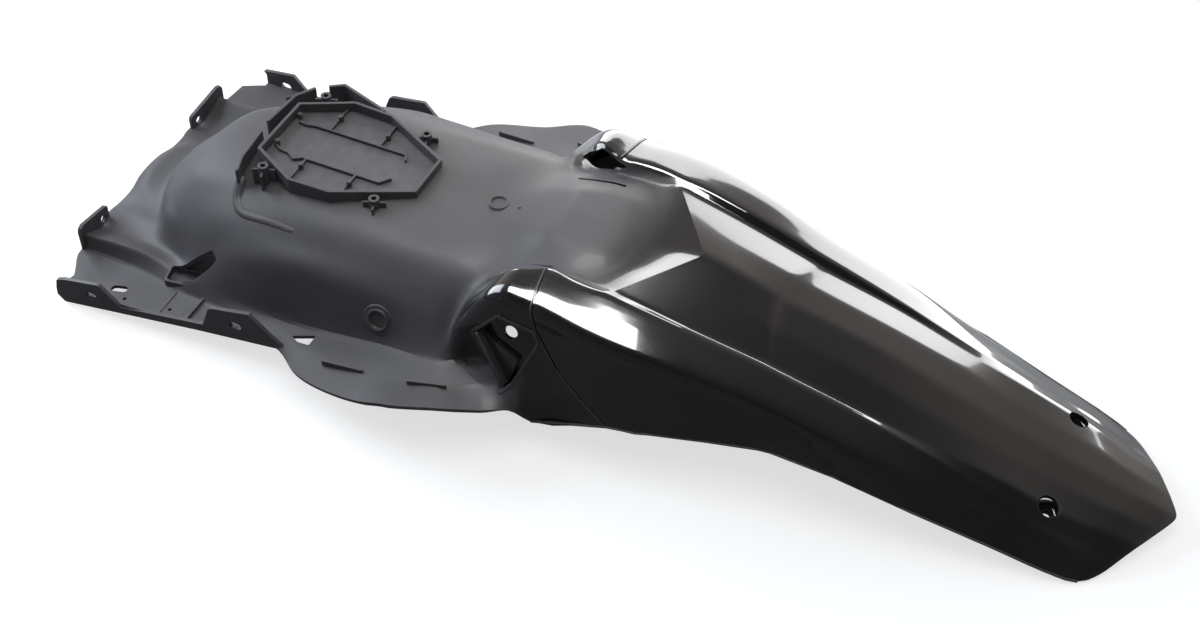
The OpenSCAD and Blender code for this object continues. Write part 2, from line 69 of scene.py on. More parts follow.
class FenderSizes(bpy.types.PropertyGroup):
    fender_l: bpy.props.FloatProperty(
        name="Tip Distance", description="Distance of the tip from the bracket plane, mm", default=828)
    wing_w: bpy.props.FloatProperty(name="Wing Width", description="Width over the side wings, mm", default=324)
    shell_t: bpy.props.FloatProperty(name="Wall", description="Wall of the moulding, mm", default=3)
    saddle_h: bpy.props.FloatProperty(name="Saddle Height", description="Height of the saddle, mm", default=97)
    shoulder_h: bpy.props.FloatProperty(
        name="Shoulder Height", description="Height of the shoulder creases, mm", default=121)
    shoulder_w: bpy.props.FloatProperty(
        name="Shoulder Width", description="Distance between the shoulder creases, mm", default=128)
    tip_h: bpy.props.FloatProperty(name="Tip Height", description="Height of the tip's upper edge, mm", default=22)
    tab_y: bpy.props.FloatProperty(name="Tab Distance", description="Tab faces from the centre line, mm", default=138)
    rim_h: bpy.props.FloatProperty(name="Tray Rim Height", description="Height of the tray's rim, mm", default=103.5)
    step: bpy.props.FloatProperty(name="Mesh Step", description="Length of a face along the skin, mm", default=5.5)
    across: bpy.props.IntProperty(name="Mesh Across", description="Faces between two control columns", default=8)


class FenderFinish(bpy.types.PropertyGroup):
    plastic: bpy.props.FloatVectorProperty(
        name="Plastic", description="Colour of the black plastic",
        subtype="COLOR", size=3, min=0, max=1, default=(0.010, 0.0095, 0.010))
    matte_lift: bpy.props.FloatVectorProperty(
        name="Matte Lift", description="Colour where the mould is grained",
        subtype="COLOR", size=3, min=0, max=1, default=(0.060, 0.058, 0.064))
    matte_rough: bpy.props.FloatProperty(
        name="Matte Roughness", description="Roughness of the grained front", default=0.50, min=0, max=1)
    gloss_rough: bpy.props.FloatProperty(
        name="Gloss Roughness", description="Roughness of the polished tail", default=0.045, min=0, max=1)
    dust: bpy.props.FloatProperty(
        name="Dust", description="Amount of fine dust on faces that look up", default=0.2, min=0, max=1)


class StudioSettings(bpy.types.PropertyGroup):
    lens: bpy.props.FloatProperty(name="Lens", description="Focal length, mm", default=51.99)
    turn: bpy.props.FloatProperty(
        name="Turn", description="Camera's turn to the left of straight ahead, degrees", default=24.442)
    tilt: bpy.props.FloatProperty(name="Tilt", description="Camera's look down, degrees", default=46.114)
    roll: bpy.props.FloatProperty(name="Roll", description="Camera's roll, degrees", default=0.357)
    place: bpy.props.FloatVectorProperty(
        name="Place", description="Camera's place",
        subtype="TRANSLATION", size=3, default=(0.351357, -0.801896, 0.938807))
    shoulder_box: bpy.props.FloatProperty(
        name="Shoulder Softbox", description="Power of the softbox that the near shoulder mirrors, W", default=28)
    back_window: bpy.props.FloatProperty(
        name="Back Window", description="Power of the low window that the far shoulder mirrors, W", default=4.8)
    left_box: bpy.props.FloatProperty(
        name="Left Softbox", description="Power of the soft light behind on the left, W", default=25)
    top_box: bpy.props.FloatProperty(name="Top Softbox", description="Power of the soft light overhead, W", default=8)
    floor: bpy.props.FloatVectorProperty(
        name="Floor", description="Colour of the floor",
        subtype="COLOR", size=3, min=0, max=1, default=(0.93, 0.935, 0.945))


def sizes():
    return bpy.context.scene.fender_sizes


# Places: millimetres from the bracket plane, laid down as the solids are

TOE, TAB_X = math.radians(2.7), 50  # the ledges toe in, measured from the front tabs
REST_TILT, REST_LIFT, FRONT_X, MIDDLE = math.radians(1.287), 0.206, 5.0, 0.304


def laid(points):
    p = np.atleast_2d(np.asarray(points, float))
    x = p[:, 0] - (sizes().fender_l + FRONT_X) / 2 - MIDDLE
    c, s = math.cos(REST_TILT), math.sin(REST_TILT)
    return np.stack([x * c + p[:, 2] * s, p[:, 1], p[:, 2] * c - x * s + REST_LIFT], 1) * MM


# The outer face at the default sizes, from front to tip: each section's distance from the front (one number where
# all its points share it), then y and z from the centre line outwards. A last y of 0 is set by the tabs' distance.

SECTIONS = (
    ("front edge", (6, 7, 9, 8, 5, 7.5, 10, 10.5, 12),
     (0, 14, 28, 42, 55, 74, 92, 96, 0), (11, 11, 9, 7, 5, 6, 16, 4, 1)),
    ("bead", (17, 18, 22, 27, 29, 30, 30, 30, 30),
     (0, 14, 28, 41, 56, 74, 91, 96, 0), (18.5, 18.5, 17, 13, 7, 8, 18, 5, 5)),
    ("valley", (27, 28, 32, 40, 44, 46, 46, 46, 46),
     (0, 14, 29, 44, 58, 75, 91, 97, 0), (19, 19, 18.5, 17, 11, 10, 19, 6, 6)),
    ("riser", (37, 38, 42, 50, 58, 62, 62, 62, 62),
     (0, 14, 29, 45, 60, 76, 91, 99, 0), (21, 21, 21, 20, 17, 13, 19, 8, 8)),
    ("dome edge", (43, 44, 50, 58, 70, 80, 82, 82, 82),
     (0, 15, 32, 47, 62, 78, 92, 103, 0), (32, 32, 32.5, 33.5, 34, 17, 17, 9, 9)),
    ("dome", (60, 61, 66, 75, 87, 97, 98, 98, 98),
     (0, 18, 38, 54, 69, 84, 97, 106, 0), (49, 48.5, 47, 45, 38, 20, 17, 10, 10)),
    ("dome mid", (83, 84, 87, 94, 102, 109, 110, 110, 110),
     (0, 20, 40, 57, 73, 88, 101, 108, 0), (71, 70, 67, 58, 46, 28, 19, 11, 11)),
    ("dome top", (120, 120, 121, 124, 127, 129, 129, 129, 129),
     (0, 21, 42, 58, 74, 89, 103, 110, 0), (85, 84, 81, 73, 61, 41, 22, 13, 13)),
    ("tray", 160, (0, 22, 45, 62, 78, 93, 105, 113, 0), (91, 91, 89, 83, 72, 56, 22, 16, 16)),
    ("saddle", 205, (0, 22, 46, 64, 80, 95, 107, 120, 0), (94, 94, 93, 89, 79, 68, 24, 21, 21)),
    ("wing", (236, 236, 236, 236, 236, 236, 236, 236, 237),
     (0, 22, 47, 64, 80, 95, 108, 130, 150), (96, 96, 95, 91, 81, 69, 29, 28, 26)),
    ("wing wide", 281, (0, 22, 47, 64, 80, 95, 108, 134, 159), (98, 98, 96, 93, 83, 69, 37, 35, 33)),
    ("bulge", (322, 322, 322, 322, 322, 322, 320, 319, 318),
     (0, 22, 47, 64, 80, 96, 113, 137, 161.5), (99, 99, 98, 95, 85, 68, 47, 45, 46.5)),
    ("pod foot", (345, 345, 345, 342, 335, 331, 334, 340, 346),
     (0, 24, 50, 68, 84, 97, 112, 134, 153), (104, 103, 98, 94, 82, 65, 49, 48, 49)),
    ("pod lip", (359, 358, 355, 349, 341, 336, 339, 366, 375),
     (0, 25, 54, 73, 87, 99, 107, 116.5, 136), (109, 108, 99, 98, 89, 71, 48, 44, 43)),
    ("cap", (377, 376, 373, 370, 373, 375, 379, 386, 392),
     (0, 26, 54, 71, 93, 99, 106, 113, 123.5), (116, 115, 104, 119, 118.5, 98, 70, 51, 38.5)),
    ("foot", (384, 384, 382, 380, 384, 387, 395, 399, 403),
     (0, 27, 55, 67, 93.5, 98.5, 105.5, 111, 115), (116.5, 115.5, 107, 119.5, 118, 98, 70, 47, 23)),
    ("groove", (391, 391, 391, 390, 395, 399, 418, 438, 459),
     (0, 28, 55, 62, 93.5, 97.5, 104, 108.5, 112.5), (117, 116, 110, 120, 117, 98, 73, 57, 43.5)),
    ("hump end", (420, 419, 412, 412, 417, 422, 437, 453, 470),
     (0, 28, 54, 65, 96, 99.5, 104.5, 108.5, 111.5), (116.5, 115.5, 112, 119, 115.5, 98, 74, 58, 45)),
    ("valley back", (438, 432, 423, 422, 427, 433, 447, 462, 479),
     (0, 28, 55, 65, 97, 100.5, 104.5, 108, 110.5), (110.5, 111, 112, 118.5, 114.5, 98, 74, 58.5, 45.5)),
    ("roof", (479, 459, 438, 434, 440, 446, 460, 473, 488),
     (0, 28, 57, 64, 97.5, 101, 103.5, 106, 108.5), (116, 115.5, 115, 117.5, 113, 97, 74.5, 60, 47)),
    ("roof mid", (502, 494, 486, 486, 491, 497, 507, 517, 526),
     (0, 27, 56, 62, 92, 96, 98, 99.5, 100.3), (111, 108, 104, 108, 104.5, 89.5, 75, 62.5, 50.5)),
    ("roof end", (533, 537, 544, 545, 548, 551, 554, 557, 560),
     (0, 25, 52, 57, 82.5, 86.5, 88.5, 90, 91), (102.5, 98.5, 90.5, 94, 90, 79, 69, 59.5, 50.2)),
    ("step", (541, 545, 552, 553, 556, 559, 562, 565, 568),
     (0, 25, 51.5, 56.5, 81.5, 85.8, 87.8, 89.3, 90.2), (98.5, 95, 88, 92, 88, 77.5, 68, 59, 50.5)),
    ("tail", 612, (0, 25, 50, 54, 76, 83, 87, 89.7, 91), (83, 80, 74, 76, 71.5, 66.5, 61, 55.5, 50.3)),
    ("tail mid", 668, (0, 25, 46, 53, 64, 72, 78.5, 83.5, 87.5), (65, 63, 59, 58, 53, 49, 45.5, 42, 38.8)),
    ("tail low", 719, (0, 22, 43, 53, 58.5, 64.5, 70, 75.5, 80.8), (49, 48, 46, 41, 38, 35, 31.8, 28.6, 25.5)),
    ("tip hole", 757, (0, 22, 42, 52, 57, 62, 67, 72, 76.5), (39, 37.5, 34, 29, 27, 24, 21, 18, 15.5)),
    ("tip", (800, 798, 792, 788, 785, 782, 779, 776, 772),
     (0, 18, 36, 46, 52.5, 58.5, 64, 69, 73.6), (28, 27, 24, 20, 18, 16, 14, 12.5, 11.7)),
    ("rear edge", (828, 819, 809, 803, 798.5, 794, 790, 785.5, 780),
     (0, 17, 34, 43.3, 50.5, 57.5, 62.5, 67.2, 70.7), (22, 21.5, 20.3, 17.8, 15.5, 13.3, 11.8, 10.6, 10.2)),
)


def ledge_edge(x):
    return sizes().tab_y - math.tan(TOE) * (x - TAB_X) - 1.5


def control_rows():
    """The sections as points, moved with the sizes that they hang on."""
    z = sizes()

    def more(name):
        """By how much a size exceeds its default."""
        return getattr(z, name) - z.bl_rna.properties[name].default

    rows = np.array([np.broadcast_arrays(*section[1:]) for section in SECTIONS], float).transpose(0, 2, 1)
    rows[:10, -1, 1] = ledge_edge(rows[:10, -1, 0])
    rows[10:13, -1, 1] += more("wing_w") / 2
    rows[7:13, :5, 2] += more("saddle_h")
    rows[13:15, :4, 2] += more("saddle_h")
    rows[15:22, :5, 2] += more("shoulder_h")
    rows[15:21, 3:5, 1] += more("shoulder_w") / 2
    rows[28:, :, 2] += more("tip_h")
    rows[29, :, 0] += more("fender_l")
    # The shoulder is crowned a little more than in the solid, as the gloss shows
    rows[15:24, SHOULDER_COL] += (0, 0.8, -2.6)
    rows[24, SHOULDER_COL] += (0, 0.4, -1.2)
    return rows


ROW_SOFT = [1] * 13 + [0.9, 0.5] + [0.2] * 4 + [0] * 11
COLUMN_SOFT = [1, 1, 1, 1, 1, 0.5, 0.2, 0.2, 1]
SHOULDER_COL, SHOULDER_SOFT = 4, [0] * 14 + [1] * 11 + [0.5] + [0] * 4
CREASE_ROWS = (20, 22, 23)
# Where the pods' polish begins: y and the distance from the front
LIP_AT = ((0, 359), (54, 355), (73, 349), (87, 341), (99, 336), (107, 339), (116.5, 366), (136, 375), (170, 395))


def cubic(b, c, tb, tc, u):
    return (b * (2 * u ** 3 - 3 * u * u + 1) + tb * (u ** 3 - 2 * u * u + u)
            + c * (3 * u * u - 2 * u ** 3) + tc * (u ** 3 - u * u))


def soft_at(i, j):
    """How round a control point is across, from 0 for a facet's edge to 1."""
    return max(ROW_SOFT[i] * COLUMN_SOFT[j], SHOULDER_SOFT[i] if j == SHOULDER_COL else 0)


def fine_across(row, i, m):
    out, last = [], len(row) - 1
    for j in range(last):
        b, c = row[j], row[j + 1]
        chord = c - b
        a = np.array([c[0], -c[1], c[2]]) if j == 0 else row[j - 1]
        d = c + chord if j == last - 1 else row[j + 2]
        kb, kc = soft_at(i, j), soft_at(i, j + 1)
        tb, tc = chord * (1 - kb) + (c - a) / 2 * kb, chord * (1 - kc) + (d - b) / 2 * kc
        out += [cubic(b, c, tb, tc, k / m) for k in range(m)]
    return out + [row[last]]


def half_rows():
    m = sizes().across
    return np.array([fine_across(r, i, m) for i, r in enumerate(control_rows())])


def skin_grid():
    """The fender's outer face as a grid of rows from front to tip, the left edge first."""
    z = sizes()
    half = half_rows()
    n = len(half)
    d = half[1:] - half[:-1]
    h = np.linalg.norm(d, axis=2, keepdims=True)
    unit = d / h
    start, end = unit.copy(), unit.copy()
    smooth = (unit[:-1] * h[1:] + unit[1:] * h[:-1]) / (h[1:] + h[:-1])
    start[1:], end[:-1] = smooth, smooth
    roof = 3 * z.across
    for i in CREASE_ROWS:
        start[i, :roof], end[i - 1, :roof] = unit[i, :roof], unit[i - 1, :roof]
    out = []
    for i in range(n - 1):
        steps = max(2, math.ceil(float(np.median(h[i])) / z.step))
        out += [cubic(half[i], half[i + 1], start[i] * h[i], end[i] * h[i], k / steps) for k in range(steps)]
    out.append(half[-1])
    right = np.array(out)
    left = right[:, :0:-1] * np.array([1, -1, 1])
    grid = soften(np.concatenate([left, right], 1))
    for _ in range(5):
        grid[-1, 1:-1] = (grid[-1, :-2] + 2 * grid[-1, 1:-1] + grid[-1, 2:]) / 4
    return grid


def soften(grid, weight=0.45):
    """Takes the sharpest off the creases, as a mould's edges are."""
    inner = grid[1:-1, 1:-1]
    near = (grid[1:-1, :-2] + grid[1:-1, 2:]) / 2
    grid[1:-1, 1:-1] = inner + (near - inner) * weight
    return grid


def grid_normals(grid):
    along = np.gradient(grid, axis=0)
    over = np.gradient(grid, axis=1)
    n = np.cross(along, over)
    return n / np.linalg.norm(n, axis=2, keepdims=True)

def shell(grid, wall):
    """A closed skin of that wall, with its free edges rounded over."""
    rows, cols = grid.shape[:2]
    count = rows * cols
    verts = np.concatenate([grid.reshape(-1, 3), (grid - grid_normals(grid) * wall).reshape(-1, 3)])
    faces = []
    for i in range(rows - 1):
        for j in range(cols - 1):
            a = i * cols + j
            b, c, d = a + cols, a + cols + 1, a + 1
            faces += [(a, b, c, d), (a + count, d + count, c + count, b + count)]
    ring = (list(range(cols)) + [i * cols + cols - 1 for i in range(1, rows)]
            + [(rows - 1) * cols + j for j in range(cols - 2, -1, -1)] + [i * cols for i in range(rows - 2, 0, -1)])
    outer = np.array(ring)
    under = outer + count
    middle = (verts[outer] + verts[under]) / 2
    wall_way = verts[outer] - verts[under]
    out_way = np.cross(wall_way, np.roll(middle, -1, 0) - np.roll(middle, 1, 0))
    out_way /= np.linalg.norm(out_way, axis=1, keepdims=True) + 1e-9
    sign = 1 if np.dot(out_way[0], grid[0, 0] - grid[5, 5]) > 0 else -1
    bulge = sign * out_way * wall * EDGE_BULGE
    edge = [verts[outer] - wall_way * EDGE_ROUND + bulge, verts[under] + wall_way * EDGE_ROUND + bulge]
    base, n = len(verts), len(ring)
    for k in range(n):
        q = (k + 1) % n
        a, b = base + 2 * k, base + 2 * q
        faces += [(outer[k], outer[q], b, a), (a, b, b + 1, a + 1), (a + 1, b + 1, under[q], under[k])]
    return np.concatenate([verts, np.stack(edge, 1).reshape(-1, 3)]), faces


# Mesh helpers

def rounded(points, r, n=3):
    """The outline with its corners rounded to radius r."""
    out = []
    p = [Vector(q) for q in points]
    for k, v in enumerate(p):
        a, b = p[k - 1] - v, p[(k + 1) % len(p)] - v
        half = a.angle(b) / 2
        cut = min(r / max(math.tan(half), 1e-3), a.length * 0.45, b.length * 0.45)
        if math.degrees(2 * half) > 172:
            out.append(v)
            continue
        s, e = v + a.normalized() * cut, v + b.normalized() * cut
        for t in range(n + 1):
            u = t / n
            out.append(s * (1 - u) ** 2 + v * 2 * u * (1 - u) + e * u * u)
    return [tuple(q) for q in out]


def stadium(cx, cy, d, length, turn=0.0, n=10):
    pts = []
    for k, side in ((1, 0), (-1, math.pi)):
        for t in range(n + 1):
            a = -math.pi / 2 + math.pi * t / n + side
            pts.append((k * (length - d) / 2 + d / 2 * math.cos(a), d / 2 * math.sin(a)))
    c, s = math.cos(turn), math.sin(turn)
    return [(cx + x * c - y * s, cy + x * s + y * c) for x, y in pts]


def circle(cx, cy, d, n=40):
    angles = [2 * math.pi * k / n for k in range(n)]
    return [(cx + d / 2 * math.cos(a), cy + d / 2 * math.sin(a)) for a in angles]


def prism(outline, low, high, way="z"):
    """A closed prism as (points, faces): the outline is (x, y) for way z, (x, z) for y and (y, z) for x."""
    order = {"z": (0, 1, 2), "y": (0, 2, 1), "x": (2, 0, 1)}[way]
    n = len(outline)
    points = [[(u, v, w)[k] for k in order] for w in (low, high) for u, v in outline]
    faces = [tuple(range(n)), tuple(range(2 * n - 1, n - 1, -1))]
    faces += [(k, (k + 1) % n, n + (k + 1) % n, n + k) for k in range(n)]
    return np.array(points, float), faces


def box(x0, x1, y0, y1, z0, z1):
    return prism([(x0, y0), (x1, y0), (x1, y1), (x0, y1)], z0, z1)


def turned(part, matrix):
    """Moves a part by a 4x4 matrix in the moulding's millimetres."""
    points, faces = part
    m = np.array(matrix, float)
    return points @ m[:3, :3].T + m[:3, 3], faces


def mirrored(part):
    points, faces = part
    return points * np.array([1, -1, 1]), [tuple(reversed(f)) for f in faces]


def both(parts):
    return [p for part in parts for p in (part, mirrored(part))]


def swept(path, normals, w, low, high):
    """A bar of square section along a path, from low to high along the normals."""
    path, normals = np.array(path, float), np.array(normals, float)
    t = np.gradient(path, axis=0)
    t /= np.linalg.norm(t, axis=1)[:, None]
    u = np.cross(t, normals)
    u /= np.linalg.norm(u, axis=1)[:, None]
    corners = ((-1, low), (1, low), (1, high), (-1, high))
    points = np.concatenate([path + u * a * w / 2 + normals * b for a, b in corners])
    n = len(path)
    faces = [(0, n, 2 * n, 3 * n), (n - 1, 4 * n - 1, 3 * n - 1, 2 * n - 1)]
    for k in range(n - 1):
        for q in range(4):
            a, b = q * n + k, (q + 1) % 4 * n + k
            faces.append((a, a + 1, b + 1, b))
    return points, faces


def over_path(path):
    """The outward normals of points that run across the right side."""
    t = np.gradient(np.array(path, float), axis=0)
    n = np.cross((1, 0, 0), t)
    return n / np.linalg.norm(n, axis=1)[:, None]


def move_to(place, degrees=0.0, axis="Z"):
    """The matrix that turns a shape about one axis and then moves it."""
    return Matrix.Translation(place) @ Matrix.Rotation(math.radians(degrees), 4, axis)


def mesh_of(name, parts):
    """One mesh in metres from parts in the moulding's millimetres, with all faces outwards."""
    bm = bmesh.new()
    for points, faces in parts:
        made = [bm.verts.new(p) for p in laid(points)]
        for f in faces:
            try:
                bm.faces.new([made[k] for k in f])
            except ValueError:
                pass
    bmesh.ops.remove_doubles(bm, verts=bm.verts, dist=1e-7)
    bmesh.ops.recalc_face_normals(bm, faces=bm.faces)
    mesh = bpy.data.meshes.new(name)
    bm.to_mesh(mesh)
    bm.free()
    return mesh


def taken_off(obj, name):
    """The object's mesh with its modifiers applied; the object is removed."""
    done = bpy.data.meshes.new_from_object(obj.evaluated_get(bpy.context.evaluated_depsgraph_get()))
    bpy.data.objects.remove(obj)
    done.name = name
    return done


def cut(mesh, cutters, name):
    """The mesh with the cutter parts taken out, as a plain mesh."""
    body = bpy.data.objects.new(name + "_body", mesh)
    tool = bpy.data.objects.new(name + "_tool", mesh_of(name + "_tool", cutters))
    for o in (body, tool):
        bpy.context.scene.collection.objects.link(o)
    m = body.modifiers.new("cut", "BOOLEAN")
    m.object, m.operation, m.solver = tool, "DIFFERENCE", "EXACT"
    bpy.context.view_layer.update()
    done = taken_off(body, name)
    bpy.data.objects.remove(tool)
    return done


def gloss_at(co):
    """How polished the mould is at points in metres: the pods and the tail are, the front is grained."""
    c, s = math.cos(REST_TILT), math.sin(REST_TILT)
    x, z = co[:, 0] / MM, co[:, 2] / MM - REST_LIFT
    along = x * c - z * s + (sizes().fender_l + FRONT_X) / 2 + MIDDLE
    y = np.abs(co[:, 1]) / MM
    smooth = lambda v, a, b: (lambda t: t * t * (3 - 2 * t))(np.clip((v - a) / (b - a), 0, 1))
    lip = np.interp(y, [p[0] for p in LIP_AT], [p[1] for p in LIP_AT])
    pod = smooth(y, 56, 64) * smooth(along, lip - 1.5, lip + 1.0)
    pod *= 1 - smooth(y, 106, 109) * (1 - smooth(along, 392, 397))
    hump = 0.04 * smooth(along, 352, 380) * (1 - smooth(y, 52, 60))
    tail = smooth(along, 412, 455)
    return np.maximum(np.maximum(pod, hump), tail)


def piece(name, shape, angle=28, bevel=0.0, gloss=None):
    """Places a mesh or a list of parts on the body, smooth but for its real edges, in the one plastic."""
    mesh = mesh_of(name, shape) if isinstance(shape, list) else shape
    co = np.zeros(len(mesh.vertices) * 3)
    mesh.vertices.foreach_get("co", co)
    co = co.reshape(-1, 3)
    layer = mesh.attributes.get("gloss") or mesh.attributes.new("gloss", "FLOAT", "POINT")
    # A given gloss replaces the finish of the place. A low one on beads of the polished parts lightens them into
    # painted highlight lines.
    value = gloss_at(co) if gloss is None else np.full(len(co), float(gloss))
    layer.data.foreach_set("value", value.astype(np.float32))
    mesh.polygons.foreach_set("use_smooth", [True] * len(mesh.polygons))
    mesh.set_sharp_from_angle(angle=math.radians(angle))
    mesh.materials.clear()
    mesh.materials.append(plastic())
    obj = bpy.data.objects.new(name, mesh)
    bpy.context.scene.collection.objects.link(obj)
    if bevel:
        m = obj.modifiers.new("Soft Edges", "BEVEL")
        m.width, m.segments, m.limit_method, m.angle_limit = bevel * MM, 2, "ANGLE", math.radians(35)
    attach(obj, "root")
    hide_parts(NODE)


# Node helpers and the shared effects of the finishes

def feed(tree, socket, value):
    """Gives a socket a plain value or another node's output."""
    if isinstance(value, bpy.types.NodeSocket):
        tree.links.new(value, socket)
    else:
        socket.default_value = value


def node(tree, kind, inputs=None, **settings):
    """A new node with its settings and its inputs, which are named or numbered."""
    n = tree.nodes.new(kind)
    for k, v in settings.items():
        setattr(n, k, v)
    for k, v in (inputs or {}).items():
        feed(tree, n.inputs[k], v)
    return n


def math_node(tree, operation, a, b, clamp=False):
    return node(tree, "ShaderNodeMath", {0: a, 1: b}, operation=operation, use_clamp=clamp).outputs[0]


def times(tree, a, b, clamp=False):
    return math_node(tree, "MULTIPLY", a, b, clamp)


def noise_node(tree, vector, scale, detail, rough):
    inputs = {"Vector": vector, "Scale": scale, "Detail": detail, "Roughness": rough}
    return node(tree, "ShaderNodeTexNoise", inputs).outputs["Fac"]


def ramp_node(tree, value, stops):
    n = node(tree, "ShaderNodeValToRGB", {"Fac": value})
    while len(n.color_ramp.elements) < len(stops):
        n.color_ramp.elements.new(0.5)
    for e, (place, level) in zip(n.color_ramp.elements, stops):
        e.position = place
        e.color = (*level, 1) if isinstance(level, tuple) else (level, level, level, 1)
    return n.outputs["Color"]


def new_group(kind, name, first, floats, outputs, result="Float"):
    """A node group, its first input of a type of its own and then floats: the tree, its inputs and its outputs."""
    t = bpy.data.node_groups.new(name, kind)
    t.interface.new_socket(first, in_out="INPUT", socket_type="NodeSocket" + first)
    for label, value in floats.items():
        t.interface.new_socket(label, in_out="INPUT", socket_type="NodeSocketFloat").default_value = value
    for label in outputs:
        t.interface.new_socket(label, in_out="OUTPUT", socket_type="NodeSocket" + result)
    return t, t.nodes.new("NodeGroupInput").outputs, t.nodes.new("NodeGroupOutput").inputs


def bare_tree(data):
    """The emptied node tree of a new material or world."""
    data.use_nodes = True
    data.node_tree.nodes.clear()
    return data.node_tree


def grain_group():
    """Fine spark-eroded mould grain with a slow unevenness, for the Height of a bump."""
    t, given, result = new_group("ShaderNodeTree", "Mould Grain", "Vector",
                                 {"Grain Scale": 1400.0, "Grain": 1.0, "Flow": 0.2}, ("Height", "Unevenness"))
    fine = noise_node(t, given["Vector"], given["Grain Scale"], 2.0, 0.6)
    flow = noise_node(t, given["Vector"], 26.0, 2.0, 0.4)
    cloud = noise_node(t, given["Vector"], 9.0, 4.0, 0.55)
    height = math_node(t, "ADD", times(t, fine, given["Grain"]), times(t, flow, given["Flow"]))
    feed(t, result["Height"], height)
    feed(t, result["Unevenness"], ramp_node(t, cloud, [(0.3, 0.0), (0.7, 1.0)]))
    return t


def dust_group():
    """Fine settled dust: a mask that grows on faces that look up, broken into specks and smears."""
    t, given, result = new_group("ShaderNodeTree", "Settled Dust", "Vector", {"Amount": 0.3}, ("Dust",))
    normal = node(t, "ShaderNodeNewGeometry").outputs["Normal"]
    z = node(t, "ShaderNodeSeparateXYZ", {0: normal}).outputs["Z"]
    up = math_node(t, "POWER", math_node(t, "MAXIMUM", z, 0.0), 3.0)
    specks = ramp_node(t, noise_node(t, given["Vector"], 900.0, 3.0, 0.7), [(0.60, 0.0), (0.74, 1.0)])
    smear = ramp_node(t, noise_node(t, given["Vector"], 16.0, 5.0, 0.6), [(0.42, 0.15), (0.68, 1.0)])
    feed(t, result["Dust"], times(t, times(t, specks, smear), times(t, up, given["Amount"]), True))
    return t


def wear_group():
    """Rubbed edges: a mask from how far the surface bulges, broken by noise."""
    t, given, result = new_group("ShaderNodeTree", "Rubbed Edges", "Vector", {"Amount": 0.4}, ("Wear",))
    edge = ramp_node(t, node(t, "ShaderNodeNewGeometry").outputs["Pointiness"], [(0.52, 0.0), (0.60, 1.0)])
    broken = ramp_node(t, noise_node(t, given["Vector"], 120.0, 4.0, 0.6), [(0.35, 0.2), (0.7, 1.0)])
    feed(t, result["Wear"], times(t, times(t, edge, broken), given["Amount"], True))
    return t


def plastic():
    """Black plastic, grained in front and polished at the back, by the mesh's gloss attribute."""
    if m := bpy.data.materials.get("Moulded Black Plastic"):
        return m
    f = bpy.context.scene.fender_finish
    m = bpy.data.materials.new("Moulded Black Plastic")
    t = bare_tree(m)
    place = node(t, "ShaderNodeTexCoord").outputs["Object"]
    polish = node(t, "ShaderNodeAttribute", attribute_name="gloss").outputs["Fac"]

    def use(tree, **values):
        inputs = {k.replace("_", " "): v for k, v in values.items()}
        return node(t, "ShaderNodeGroup", {"Vector": place, **inputs}, node_tree=tree).outputs

    def blend(kind, fac, a, b):
        first, out = {"FLOAT": (2, 0), "RGBA": (6, 2)}[kind]
        return node(t, "ShaderNodeMix", {0: fac, first: a, first + 1: b}, data_type=kind).outputs[out]

    grain = use(grain_group(), Grain_Scale=1500.0, Grain=1.0, Flow=0.5)
    dust = use(dust_group(), Amount=f.dust)["Dust"]
    wear = use(wear_group(), Amount=0.35)["Wear"]
    low, high = ((*[c * k for c in f.matte_lift], 1) for k in (0.88, 1.12))
    # The grained colour is lighter than the polished black. Beads on the polished pods and tail are given a low gloss,
    # so they take this lighter colour as painted highlight lines.
    base = blend("RGBA", polish, blend("RGBA", grain["Unevenness"], low, high), (*f.plastic, 1))
    base = blend("RGBA", dust, blend("RGBA", wear, base, WORN), DUST)
    grained = math_node(t, "ADD", f.matte_rough - 0.04, times(t, grain["Unevenness"], 0.08))
    rough = blend("FLOAT", dust, blend("FLOAT", polish, grained, f.gloss_rough * 3), 0.7)
    flat = math_node(t, "SUBTRACT", 1.0, times(t, polish, 0.97))
    bump = node(t, "ShaderNodeBump", {"Distance": GRAIN_DEEP, "Height": times(t, grain["Height"], flat)})
    bsdf = node(t, "ShaderNodeBsdfPrincipled", {
        "Base Color": base, "Roughness": rough, "Normal": bump.outputs[0], "IOR": 1.5, "Specular IOR Level": 0.3,
        "Coat Roughness": f.gloss_rough, "Coat Weight": times(t, polish, math_node(t, "SUBTRACT", 1.0, dust))})
    node(t, "ShaderNodeOutputMaterial", {0: bsdf.outputs[0]})
    return m


# Shapes that several pieces share, in the moulding's millimetres

TRAY = [(141, 27), (177, 46), (209, 45), (263, 18), (263, -18), (209, -45), (177, -46), (141, -27)]
BOSSES = [(153, 44), (242, 39)]
PEGS = [(173, 32), (215, 29), (174, -27), (215, -28), (144, 21), (145, -12)]
FLANK_TILT = 15.6
POCKET_O = (377, 104.5, 75)
POCKET = [(354, 79), (371, 98), (397, 95), (401, 88), (387, 52), (381, 45)]
POCKET_DEEP, POCKET_CORNER = 10, 2.5
RECESS = [(92, 91), (128, 86), (136, 91), (117, 101), (95, 104)]
RECESS_FLOOR, RECESS_CORNER = 11, 3
GUSSET = [(90, 9), (138, 9), (138, 43), (129, 40), (110, 27), (98, 17), (90, 15)]
SCOOP = [(352, 101), (371, 117), (397, 116.5), (388, 109.5), (366, 103)]
WINDOW = [(213, 118), (231, 113.5), (231, 123.5), (221, 122.5)]
RIM = [(140, 10), (216, 20), (207, 27), (188, 46), (157, 39.5), (154, 37), (147, 18.5), (75, 6.4), (59, 23), (28, 17)]
TAB_SLOTS = ((50.1, 8.5), (175.1, 29))
SLOT_D, SLOT_L = 6.6, 10
EAR = [(16, 1), (16, 15), (18, 17), (50, 26), (54, 25), (55.5, 22), (55.5, 1), (40, 2)]
EAR_HOLE, EAR_HOLE_D = (66, 9.4), 6.5
LEFT_CORNER = [(-5, -94), (8.5, -97), (13, -107), (18, -115), (22, -122), (18, -134), (18, -150), (-5, -150)]
